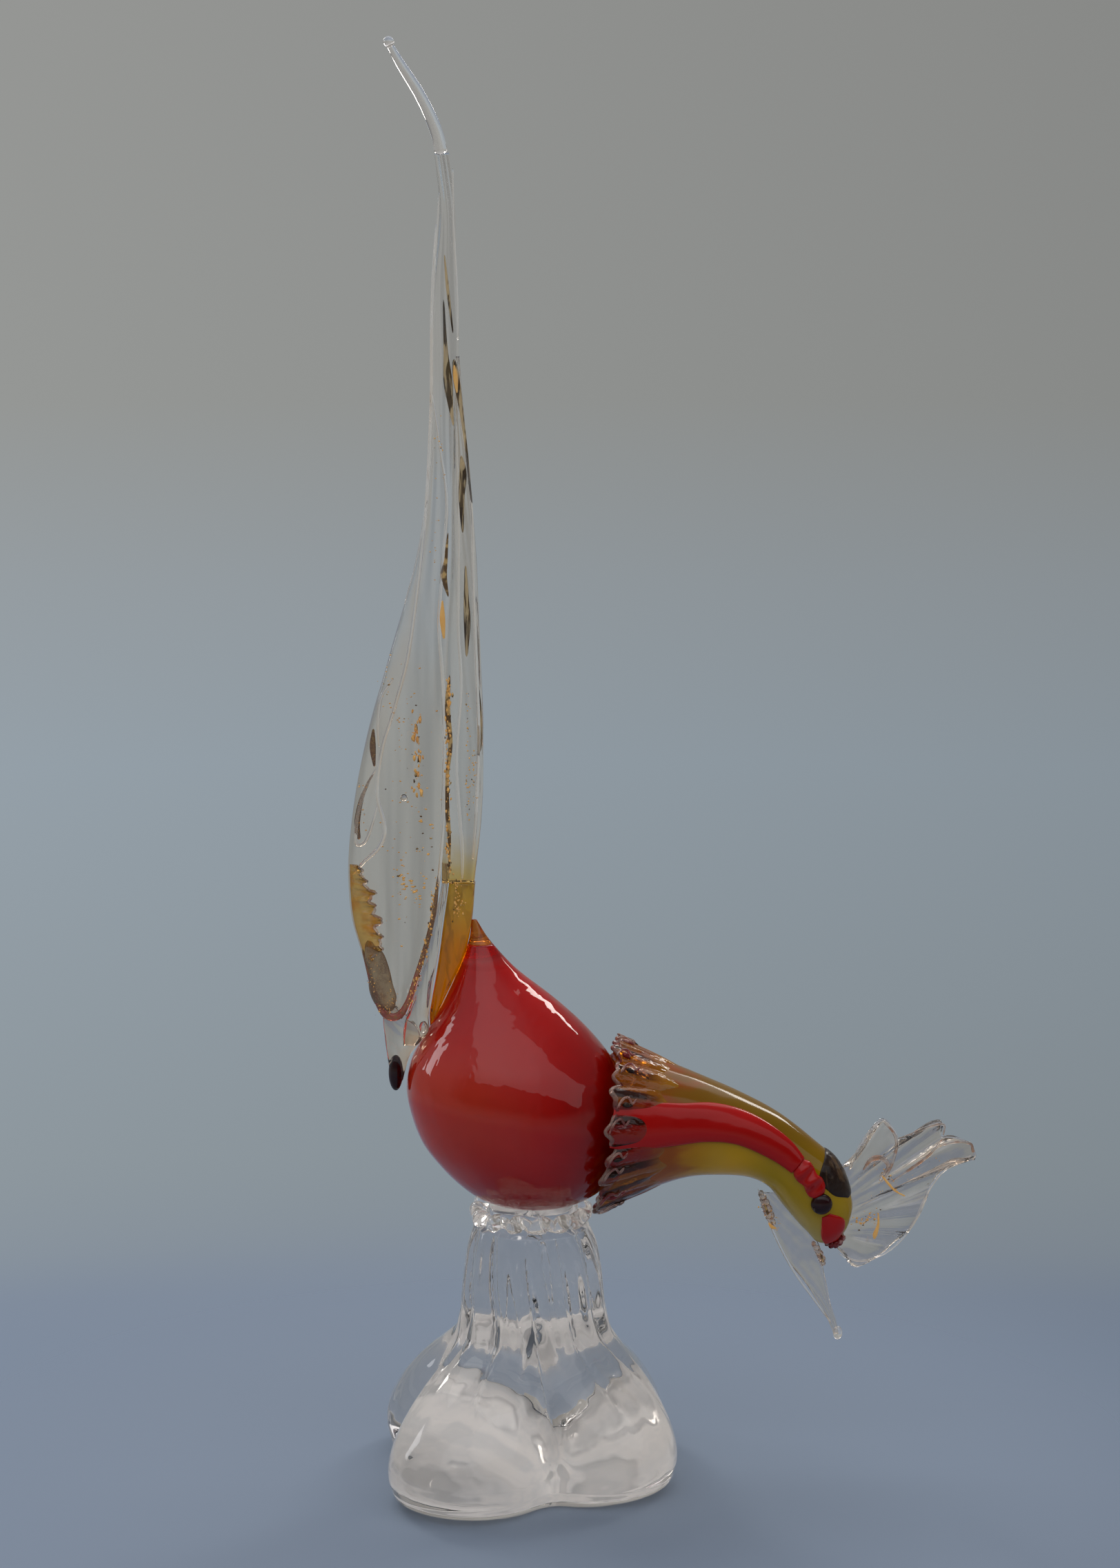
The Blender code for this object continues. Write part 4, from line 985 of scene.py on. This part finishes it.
toothed("beak_curl_rear_glass", ((63.6, -1.0, 82.2, 0.5), (64.7, -1.3, 79.2, 1.0), (66.0, -1.5, 75.6, 1.15),
                                 (67.6, -1.4, 71.6, 0.5)), 6, 0.45, vein_finish,
        replaces=("beak_curl_rear",), slot="clear_glass")
toothed("beak_curl_front_glass", ((78.4, -1.2, 67.4, 0.45), (79.8, -1.4, 65.0, 0.8), (81.0, -1.5, 62.4, 0.85),
                                  (81.4, -1.4, 60.4, 0.4)), 5, 0.35, vein_finish,
        replaces=("beak_curl_front",), slot="clear_glass")
toothed("head_lip_glass", ((82.0, -2.2, 67.4, 0.6), (83.8, -3.0, 67.2, 0.95), (85.6, -2.6, 68.0, 0.95),
                           (87.2, -1.6, 69.8, 0.6)), 5, 0.5, wine_finish,
        replaces=("head_lip",), slot="clear_glass")
BEAK_LINES = {
    "beak_outline": (
        thread_finish, (63.2, -0.4, 82.6, 0.25), (66.2, -0.8, 73.8, 0.35), (70.2, -0.8, 64.6, 0.35),
        (74.6, -0.8, 57, 0.35), (80, -0.6, 49.4, 0.35), (84, -0.4, 43.6, 0.3),
    ),
    "beak_gold_drop": (
        gold_finish, (66.2, -2, 73.2, 0.2), (67.2, -2.1, 72, 0.5), (68.4, -2, 71.6, 0.2),
    ),
    "beak_dark_fleck": (
        ember_finish, (65, -2.5, 78.8, 0.15), (65.6, -2.6, 77, 0.4), (66, -2.6, 75.6, 0.15),
    ),
    "beak_front_fleck": (
        ember_finish, (80.6, -2.3, 64.6, 0.12), (81.2, -2.4, 63.2, 0.28), (81.6, -2.3, 61.6, 0.12),
    ),
}
threads(BEAK_LINES, 50, 10, 0.7)

# %% [markdown]
# ## Tail
# The tail is two clear leaves drawn up together into one long thread.  The rear leaf is broad, with thick
# folded edges; the front leaf is narrow and turns amber at its root.  A lip wraps their foot and ends in a
# dark knob.

# %% Tail
# height, rear edge x, dividing fold x, half thickness
TAIL_REAR = (
    (131.8, -40.6, -35.6, 1.6), (134.6, -42.3, -34.4, 2.6), (142.0, -44.4, -31.6, 3.6),
    (151.2, -46.9, -28.6, 4.3), (160.0, -49.3, -26.7, 4.7), (172.0, -50.3, -24.8, 5.0),
    (190.0, -48.9, -24.1, 5.0),
    (212.0, -44.7, -23.5, 4.8), (235.0, -38.2, -22.6, 4.4), (262.0, -30.8, -21.4, 3.8),
    (285.0, -27.6, -21.0, 3.3),
    (302.0, -26.9, -20.6, 3.1), (316.0, -26.9, -19.2, 3.0), (336.0, -26.0, -19.7, 2.7),
    (356.0, -24.3, -20.0, 2.3),
    (370.0, -25.5, -21.6, 1.9),
)
TAIL_FRONT = (
    (170.6, -24.6, -15.5, 4.0), (190.0, -24.0, -13.4, 3.9), (212.0, -23.5, -12.9, 3.6),
    (235.0, -22.6, -13.6, 3.2),
    (262.0, -21.5, -14.7, 2.8), (288.0, -21.0, -16.7, 2.3), (308.0, -20.4, -18.5, 1.4),
    (315.6, -20.0, -19.0, 0.8),
)
TAIL_ROOT = (
    (129.8, -28.0, -27.0, 0.9), (133.0, -28.1, -26.0, 1.6), (136.5, -27.6, -24.4, 2.4),
    (142.0, -26.6, -21.8, 3.4),
    (151.2, -25.2, -18.0, 4.1), (160.0, -24.0, -16.2, 4.2), (170.4, -22.6, -15.3, 3.8),
)
TAIL_STRIP = (
    (124.6, -35.4, -31.4, 1.6), (128.0, -35.4, -28.6, 2.2), (133.0, -34.4, -28.3, 2.6),
    (138.0, -32.8, -27.6, 2.8),
    (144.0, -31.0, -26.7, 2.8), (151.0, -29.0, -25.5, 2.7), (160.0, -26.7, -24.3, 2.4),
    (170.0, -24.6, -22.9, 2.0),
    (176.0, -23.8, -22.8, 1.4),
)
TAIL_LIP = (
    (114.0, -38.6, -35.6, 1.3), (117.0, -39.3, -34.9, 2.0), (121.0, -39.9, -33.7, 2.6),
    (127.0, -40.6, -30.4, 3.0),
    (133.0, -40.9, -34.8, 2.2), (135.6, -40.4, -37.6, 1.2),
)
skin("tail_rear_glass", leaf_grid(TAIL_REAR, 420, 96, 0.42, -0.35, 0.55), tail_finish,
     replaces=("tail_plume_rear",), slot="clear_glass")
skin("tail_front_glass", leaf_grid(TAIL_FRONT, 300, 72, 0.5, 0.25, 0.45), front_finish,
     replaces=("tail_plume_front",), slot="clear_glass")
skin("tail_root_glass", leaf_grid(TAIL_ROOT, 120, 64, 0.8, 0.1, 0.2), root_finish,
     replaces=("tail_root",), slot="amber_glass")
skin("tail_lip_glass", leaf_grid(TAIL_LIP, 80, 56, 0.75, 0.1, 0.15), tail_finish,
     replaces=("tail_lip",), slot="clear_glass")
skin("tail_strip_glass", leaf_grid(TAIL_STRIP, 160, 40, 0.9, 0.2, 0.25) - (0.0, 1.6, 0.0), tail_finish,
     slot="clear_glass")
bead("tail_knob_glass", (-37.6, 0.0, 116.2), (2.0, 2.3, 5.2), eye_finish,
     replaces=("tail_knob",), slot="maroon_black_glass")
thread("tail_tip_glass", ((-23.6, 0.0, 369.4, 1.85), (-24.5, 0.0, 374.0, 1.75), (-26.4, 0.0, 379.4, 1.7),
                          (-29.9, 0.0, 386.4, 1.6), (-34.2, 0.0, 393.2, 1.35), (-36.6, 0.0, 397.4, 1.05),
                          (-37.4, 0.0, 398.8, 1.0)), thread_finish, 90, 24,
       replaces=("tail_tip",), slot="clear_glass")
bead("tail_ball_glass", (-37.5, 0.0, 399.3), (1.5, 1.5, 1.5), thread_finish, slot="clear_glass")

# %% [markdown]
# ## Folds and crimps in the tail
# While the tail was soft, its rear edge was folded over and bitten with toothed tongs, and threads of clear
# glass were pulled up along the leaves.  Each fold is a thread or a ribbon that stands a little out of the
# leaf, so light breaks along it.  A ribbon is a thread pressed flat in the bird's own plane.

# %% Folds
FOLDS = {
    "tail_fold_rear": (
        thread_finish, (-25, -1.9, 352, 0.3), (-26.3, -2, 330, 0.42), (-26.7, -2.2, 303, 0.45),
        (-28.4, -2.6, 273, 0.48), (-32.6, -3.1, 238.5, 0.51), (-36.6, -3.4, 221.5, 0.48),
        (-40.4, -3.6, 209, 0.45), (-42, -3.7, 196.5, 0.48), (-40, -3.6, 186.5, 0.54),
        (-41.6, -3.7, 181, 0.54), (-45.6, -3.3, 177, 0.48), (-48.8, -2, 173, 0.36),
    ),
    "tail_trough_edge": (
        thread_finish, (-26.4, -2, 306, 0.24), (-24.4, -2.4, 292, 0.36), (-22.6, -2.6, 277, 0.42),
        (-23.6, -2.8, 262, 0.42), (-24.8, -3, 243, 0.48), (-23.9, -3.4, 228, 0.48),
        (-23.6, -3.6, 213, 0.48), (-23.9, -3.7, 192, 0.54), (-25.2, -3.6, 173, 0.48),
        (-27.5, -3.4, 161, 0.36),
    ),
    "tail_front_line": (
        thread_finish, (-19.9, -2, 299, 0.24), (-19.4, -2.5, 270, 0.36), (-19.6, -2.9, 243, 0.42),
        (-18.9, -3.3, 226, 0.42), (-20.2, -3.5, 207, 0.42), (-19.6, -3.5, 192, 0.48),
        (-18.8, -3.4, 181, 0.48), (-18.8, -3, 172, 0.3),
    ),
    "tail_front_rim": (
        thread_finish, (-19.2, -1.2, 302, 0.24), (-17.2, -1.6, 288, 0.36), (-15.8, -1.8, 272, 0.42),
        (-15.4, -2.2, 252, 0.42), (-14.7, -2.4, 230, 0.48), (-14.2, -2.4, 212, 0.48),
        (-14.9, -2.2, 192, 0.42), (-15.9, -1.8, 177, 0.3),
    ),
    "tail_flap_edge": (
        thread_finish, (-42.2, -3.4, 203, 0.24), (-45.4, -3.3, 197, 0.42), (-47.5, -3, 189, 0.48),
        (-47.8, -2.9, 182, 0.48), (-45.4, -3.3, 182.5, 0.42), (-43.4, -3.6, 187.5, 0.36),
        (-42, -3.7, 193, 0.24),
    ),
    "tail_rear_rim": (
        thread_finish, (-24.2, -1, 360, 0.24), (-25.6, -1.2, 338, 0.3), (-26.5, -1.3, 316, 0.33),
        (-26.5, -1.4, 302, 0.33), (-27.3, -1.5, 284, 0.33), (-30.2, -1.6, 263, 0.3),
        (-34.2, -1.6, 248, 0.24),
    ),
    "tail_upper_line": (
        thread_finish, (-20.6, -1.6, 366, 0.24), (-20.4, -1.8, 350, 0.3), (-19.6, -1.8, 334, 0.3),
        (-19.4, -1.6, 320, 0.24),
    ),
    "tail_flap_tip": (
        thread_finish, (-37.2, -3, 228, 0.21), (-40.6, -3, 223, 0.42), (-41.6, -2.9, 216, 0.42),
        (-41.4, -3, 209, 0.21),
    ),
}
threads(FOLDS, 150, 16, 0.8)

RIBBONS = {
    "tail_pocket_top": (
        smoke_finish, (-23.2, -1.6, 331, 0.2), (-22.7, -1.9, 318, 0.55), (-22.1, -2.1, 309, 1.2),
        (-21.3, -2.1, 301.5, 0.6), (-20.7, -1.9, 297, 0.2),
    ),
    "tail_pocket_line": (
        smoke_finish, (-22.9, -1.6, 343, 0.15), (-22.1, -1.7, 334, 0.4), (-20.7, -1.5, 322, 0.2),
    ),
    "tail_pocket_rim": (
        smoke_finish, (-20.5, -1.6, 315, 0.35), (-19.9, -1.9, 310, 0.9), (-18.4, -1.9, 300, 0.5),
        (-17, -1.6, 288, 0.35), (-15.9, -1.5, 276, 0.2),
    ),
    "tail_pocket_mid": (
        smoke_finish, (-18.6, -2.2, 289, 0.25), (-18.2, -2.4, 284, 1), (-18.6, -2.4, 277, 0.8),
        (-18.3, -2.4, 268, 0.3),
    ),
    "tail_pocket_low": (
        smoke_finish, (-17.6, -2.4, 259, 0.25), (-17.4, -2.6, 250, 0.7), (-17.2, -2.8, 243, 0.9),
        (-17.4, -2.9, 234, 0.3),
    ),
    "tail_green_fleck": (
        ember_finish, (-22.3, -2.5, 268, 0.15), (-22.9, -2.7, 261, 0.5), (-23.4, -2.8, 256, 0.8),
        (-22.3, -2.8, 250.5, 0.2),
    ),
    "tail_gold_glint": (
        gold_finish, (-23.9, -3, 249.5, 0.2), (-23.9, -3.2, 244.5, 0.75), (-23.5, -3.2, 239, 0.3),
    ),
    "tail_gold_cap": (
        gold_finish, (-20.4, -2.2, 313.5, 0.2), (-20.1, -2.4, 310, 0.6), (-19.7, -2.3, 306, 0.2),
    ),
    "tail_rib_streak": (
        ember_finish, (-22, -3.2, 229, 0.25), (-22.7, -3.5, 220, 0.75), (-21.9, -3.7, 210, 0.6),
        (-22.8, -3.8, 201, 0.5), (-22.8, -3.8, 191, 0.6), (-22.3, -3.7, 183, 0.45), (-22.5, -3.4, 172, 0.2),
    ),
    "tail_front_streak": (
        smoke_finish, (-14.2, -1.6, 226, 0.15), (-13.7, -1.6, 217, 0.45), (-14, -1.6, 209, 0.6),
        (-14.7, -1.6, 206, 0.2),
    ),
    "tail_flap_spot": (
        plum_finish, (-42.9, -3, 214, 0.3), (-43.1, -3, 209, 0.85), (-42.7, -3, 203.5, 0.3),
    ),
    "tail_flap_fold": (
        plum_finish, (-43.2, -2.6, 201.5, 0.2), (-46, -2.4, 195, 0.5), (-47.4, -2.2, 188, 0.8),
        (-47, -2.4, 183, 0.5),
    ),
    "tail_leaf_patch": (
        speck_finish, (-45, -2.4, 154.5, 0.6), (-43.4, -2.7, 150.5, 2.6), (-41.9, -2.9, 146, 2.9),
        (-41.3, -2.8, 141, 3.4), (-39.8, -2.7, 137, 3), (-38.2, -2.5, 134.6, 0.8),
    ),
}
threads(RIBBONS, 80, 14, 0.45)
thread("tail_hem", ((-46.4, -2.4, 152, 0.3), (-44.6, -2.8, 145.5, 0.7), (-42.8, -3.0, 138.5, 0.9),
                    (-40.0, -2.9, 133.4, 1.1), (-36.6, -2.9, 133.2, 1.1), (-34.0, -3.1, 137.2, 0.8),
                    (-31.6, -3.4, 144.5, 0.7), (-28.8, -3.7, 153.5, 0.7), (-26.4, -3.8, 164, 0.6),
                    (-25.5, -3.6, 173, 0.25)), plum_finish, 150, 16, 0.7, slot="clear_glass")

# %% Crimp
CRIMP_TOP, CRIMP_LOW, CRIMP_PITCH = 176.0, 149.5, 3.7


def crimp_middle(u, v):
    """Across from the leaf's edge to a line that swings once a tooth; the free side lifts with the swing."""
    z = CRIMP_TOP + (CRIMP_LOW - CRIMP_TOP) * u
    tooth = 2 * math.pi * (CRIMP_TOP - z) / CRIMP_PITCH + 1.2 * np.sin(5.0 * u)
    outer = spline(TAIL_REAR, z.ravel())[:, 0].reshape(z.shape) + 0.7
    ends = np.sin(math.pi * np.clip(u, 0.02, 0.98)) ** 0.4
    swing = 0.9 * np.sin(tooth) + 0.6 * np.sin(0.55 * tooth) + 0.35 * np.sin(2.3 * tooth)
    inner = outer + (5.0 + 2.4 * u + swing) * ends
    return np.stack([outer + (inner - outer) * v, -2.3 - 1.5 * v - 0.9 * v ** 2 * np.cos(tooth), z], axis=-1)


v, u = np.meshgrid(np.linspace(0, 1, 26), np.linspace(0, 1, 170))
sheet("tail_crimp_glass", crimp_middle(u, v), 0.22 + 0.25 * v ** 4, honey_finish, slot="clear_glass")
edge_path = crimp_middle(np.linspace(0.02, 0.98, 200)[:, None], np.ones((200, 1)))[:, 0, :] + (0.3, -0.3, 0.0)
edge_radii = 0.30 + 0.12 * np.sin(np.linspace(0, 40, 200))
skin("tail_crimp_edge", thread_grid(edge_path, edge_radii, 10), vein_finish, slot="clear_glass")

# %% [markdown]
# ## Gold leaf and bubbles
# Leaf was rolled onto the hot gather.  It broke into flecks as the glass stretched, so flecks lie along the
# ribs and thin out in the broad parts.  Every fleck is a lumpy plate of twelve triangles, drawn with a seed.

# %% Gold leaf
draw = np.random.default_rng(7)


def scatter(path, count, spread, deep):
    """Places near a path of x, y, z: even along it, and normal draws about it by `spread` and `deep`."""
    run = spline([(index, *spot) for index, spot in enumerate(path)], draw.uniform(0, len(path) - 1, count))
    off = draw.normal(0.0, 1.0, (count, 3)) * (spread, deep, spread * 1.5)
    return run + off


def flecks(name, places, sizes, stretch, finish):
    """Plates: six rim points at 60 degrees, each at its own reach, and two centres just off the plane."""
    count = len(places)
    angle = turns(6)[None, :] + draw.uniform(0, 6.28, (count, 1))
    reach = sizes[:, None] * draw.uniform(0.55, 1.0, (count, 6))
    tip = draw.normal(0.0, 0.35, (count, 1))
    flat_x, flat_z = reach * np.cos(angle), reach * np.sin(angle) * stretch
    rim = np.stack([flat_x, tip * flat_x + 0.3 * draw.normal(0, 1, (count, 1)) * flat_z, flat_z], axis=2)
    bump = sizes[:, None, None] * np.array([[[0.0, -0.16, 0.0], [0.0, 0.16, 0.0]]])
    points = np.concatenate([rim, np.broadcast_to(bump, (count, 2, 3))], axis=1) + places[:, None, :]
    ring = np.arange(6)
    after = (ring + 1) % 6
    front = np.stack([ring, after, np.full(6, 6)], axis=1)
    back = np.stack([after, ring, np.full(6, 7)], axis=1)
    faces = (np.vstack([front, back])[None, :, :] + 8 * np.arange(count)[:, None, None]).reshape(-1, 3)
    return make(name, points.reshape(-1, 3), faces.tolist(), finish, slot="clear_glass")


# path, how many, spread, depth spread, smallest and largest fleck, stretch along z
LEAF_RUNS = (
    (((-22.3, -3.9, 228), (-22.6, -4.2, 205), (-22.5, -4.2, 174)), 120, 0.45, 0.15, 0.16, 0.45, 1.8),
    (((-17.2, -2.4, 224), (-17.2, -2.6, 206), (-17.2, -2.6, 187)), 46, 0.35, 0.2, 0.12, 0.30, 1.2),
    (((-15.6, -2.0, 207), (-15.8, -2.2, 194)), 26, 0.5, 0.2, 0.10, 0.28, 1.3),
    (((-34.0, -2.6, 226), (-33.0, -2.8, 205), (-34.0, -2.8, 180),
    (-35.5, -2.8, 160)), 90, 3.2, 0.3, 0.15, 0.50, 0.6),
    (((-31.2, -2.8, 217), (-31.0, -3.0, 207), (-31.4, -3.0, 196)), 34, 0.6, 0.2, 0.25, 0.65, 2.2),
    (((-37.0, -4.2, 174), (-33.6, -4.2, 172), (-30.6, -4.2, 167)), 26, 1.1, 0.2, 0.30, 0.80, 0.6),
    (((-29.4, -4.2, 192), (-28.0, -4.2, 180), (-30.4, -4.2, 168)), 26, 1.3, 0.2, 0.25, 0.65, 0.6),
    (((-38.4, -3.2, 232), (-39.4, -3.4, 218)), 18, 1.2, 0.2, 0.15, 0.40, 0.7),
    (((-25.8, -4.1, 172), (-28.6, -4.1, 154), (-33.6, -3.7, 137)), 90, 0.40, 0.15, 0.14, 0.42, 1.5),
    (((-44.0, -3.9, 150), (-41.4, -4.0, 142), (-39.6, -3.8, 136)), 150, 1.3, 0.15, 0.10, 0.30, 1.0),
    (((-24.4, -2.6, 300), (-24.8, -2.8, 278), (-26.4, -3.0, 256)), 30, 0.9, 0.3, 0.12, 0.32, 0.8),
    (((-20.8, -3.9, 172), (-19.8, -3.9, 167), (-20.4, -3.7, 162)), 50, 0.8, 0.2, 0.15, 0.42, 1.3),
    (((-46.0, -2.8, 200), (-45.4, -2.6, 186)), 14, 0.9, 0.2, 0.12, 0.35, 0.8),
    (((89.6, -1.4, 73.6), (93.2, -1.6, 73.8), (96.4, -1.8, 75.6)), 46, 0.7, 0.2, 0.15, 0.50, 0.8),
    (((98.0, -2.0, 87.4), (102.6, -2.2, 81.8)), 24, 0.8, 0.2, 0.12, 0.40, 0.8),
    (((92.0, -1.6, 84.0), (104.0, -1.8, 88.0), (114.0, -1.8, 92.0)), 26, 2.4, 0.2, 0.08, 0.24, 0.8),
    (((64.6, -1.7, 78.6), (67.0, -1.8, 73.8), (69.4, -1.6, 71.6)), 34, 0.7, 0.15, 0.12, 0.38, 1.0),
)
places, sizes, stretches = [], [], []
for path, count, spread, deep, small, large, stretch in LEAF_RUNS:
    places.append(scatter(path, count, spread, deep))
    sizes.append(draw.uniform(small, large, count))
    stretches.append(np.full(count, stretch))
places, sizes = np.vstack(places), np.concatenate(sizes)
stretches = np.concatenate(stretches)[:, None]
burnt = draw.random(len(places)) < 0.18
flecks("tail_gold_flecks", places[~burnt], sizes[~burnt], stretches[~burnt], gold_finish)
flecks("tail_burnt_flecks", places[burnt], sizes[burnt], stretches[burnt], ember_finish)
bead("tail_bubble", (-34.7, -3.2, 194.8), (0.95, 0.5, 1.05), bubble_finish, 20, 28, slot="clear_glass")
bead("lip_bubble", (-29.7, -3.0, 129.9), (1.2, 0.6, 1.8), bubble_finish, 20, 28, slot="clear_glass")

# %% [markdown]
# ## Floor, light and air
# A matte floor that fades into an even backdrop keeps attention on the glass, and gives it something to bend.
# The backdrop is a ramp of eleven greys and blues by the height of the view, a little darker to the right.
# Large soft lamps show as broad pale sheens on the red body, and two small ones behind it give the glints.

# %% Floor
FLOOR_DROP = 0.15
FLOOR_RADIUS = 900.0
floor_angle = turns(96)
floor_points = np.stack([FLOOR_RADIUS * np.cos(floor_angle), FLOOR_RADIUS * np.sin(floor_angle),
                         np.full(len(floor_angle), -FLOOR_DROP)], axis=1)
floor_mesh = bpy.data.meshes.new("floor")
floor_mesh.from_pydata((floor_points * MM).tolist(), [], [list(range(len(floor_angle)))])
floor = bpy.data.objects.new("floor", floor_mesh)
bpy.context.scene.collection.objects.link(floor)
floor_finish = Finish("matte floor", Base_Color=(0.225, 0.285, 0.375), Roughness=0.8)
reach = floor_finish.node("ShaderNodeVectorMath", {"operation": "LENGTH"},
                          {0: floor_finish.place}, "Value")
fade = floor_finish.rise(reach, 0.09, 0.26)
gone = floor_finish.node("ShaderNodeBsdfTransparent", {}, {}, "BSDF")
surface = Wire(floor_finish, floor_finish.shader.outputs["BSDF"])
mixed = floor_finish.node("ShaderNodeMixShader", {}, {0: fade, 1: surface, 2: gone}, "Shader")
floor_finish.feed(floor_finish.tree.nodes["Material Output"].inputs["Surface"], mixed)
floor_mesh.materials.append(floor_finish.material)
floor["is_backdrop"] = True
print("floor at", -FLOOR_DROP, "mm")

# %% Backdrop
world = bpy.data.worlds.new("studio air")
bpy.context.scene.world = world
world.use_nodes = True
air = Board(world.node_tree)
right, away, height = air.axes(air.node("ShaderNodeTexCoord", {}, {}, "Generated"))
AIR_LOW, AIR_HIGH = -0.4, 0.8
# height of the direction, colour: floor, foot of the wall, cool wall, warm wall, ceiling
AIR = (
    (-0.400, (0.208, 0.251, 0.322)), (-0.322, (0.198, 0.245, 0.322)), (-0.311, (0.208, 0.252, 0.322)),
    (-0.300, (0.240, 0.280, 0.324)), (-0.285, (0.258, 0.299, 0.330)), (-0.203, (0.287, 0.336, 0.378)),
    (-0.165, (0.290, 0.322, 0.345)), (-0.128, (0.290, 0.298, 0.290)), (0.050, (0.290, 0.290, 0.280)),
    (0.300, (0.36, 0.36, 0.36)), (0.700, (0.50, 0.50, 0.53)),
)
share = air.node("ShaderNodeMapRange", {},
                 {"Value": height, "From Min": AIR_LOW, "From Max": AIR_HIGH}, "Result")
colours = air.node("ShaderNodeValToRGB", {}, {0: share}, "Color")
stops = colours.socket.node.color_ramp.elements
while len(stops) < len(AIR):
    stops.new(0.5)
for stop, (level, colour) in zip(stops, AIR):
    stop.position = (level - AIR_LOW) / (AIR_HIGH - AIR_LOW)
    stop.color = (*colour, 1.0)
fall_off = air.node("ShaderNodeMapRange", {}, {"Value": right, "From Min": -0.12, "From Max": 0.13,
                                               "To Min": 1.04, "To Max": 0.84}, "Result")
dim_right = air.rise(right, 0.25, 0.75) * air.rise(height, 0.0, 0.15)
dim_front = air.rise(away, -0.2, -0.7) * air.rise(height, -0.1, 0.1) * air.rise(height, 0.75, 0.55)
strength = fall_off * (1.0 - dim_right * 0.65) * (1.0 - dim_front * 0.6)
background = air.tree.nodes["Background"]
air.feed(background.inputs["Color"], colours)
air.feed(background.inputs["Strength"], strength)

# %% Lamps
def softbox(name, place, aim, width, height, radiance, colour, roll=0.0):
    """A rectangular lamp at `place` facing `aim`; watts = radiance * pi * area."""
    data = bpy.data.lights.new(name, "AREA")
    data.shape = "RECTANGLE"
    data.size = width
    data.size_y = height
    data.energy = radiance * math.pi * width * height
    data.color = colour
    lamp = bpy.data.objects.new(name, data)
    bpy.context.scene.collection.objects.link(lamp)
    lamp.location = place
    ahead = Vector(aim) - Vector(place)
    turn = ahead.to_track_quat("-Z", "Y") @ Quaternion((0.0, 0.0, 1.0), math.radians(roll))
    lamp.rotation_euler = turn.to_euler()
    return lamp


softbox("window", (0.36, -0.84, 1.06), (0.0, 0.0, 0.13), 3.2, 0.80, 0.55, (0.97, 0.97, 1.0), -18.0)
softbox("side", (-1.4, 0.5, 0.60), (0.0, 0.0, 0.18), 0.36, 0.5, 3.0, (0.98, 0.98, 1.0))
softbox("top", (0.0, 0.7, 1.6), (0.0, 0.0, 0.15), 2.2, 1.2, 1.1, (1.0, 0.98, 0.95))
softbox("glint", (-0.7, 0.95, 0.80), (0.0, 0.0, 0.15), 0.20, 0.45, 9.0, (1.0, 0.97, 0.92))
softbox("back glint", (0.8, 0.9, 0.9), (0.0, 0.0, 0.15), 0.20, 0.45, 8.0, (1.0, 0.96, 0.90))
print("lamps:", len(bpy.data.lights))

# %% Sizes and finish
visual_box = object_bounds()
sizes = {"cad": [[float(v) for v in corner] for corner in cad_box],
         "visual": [[float(v) for v in corner] for corner in visual_box]}
print("sizes:", sizes)
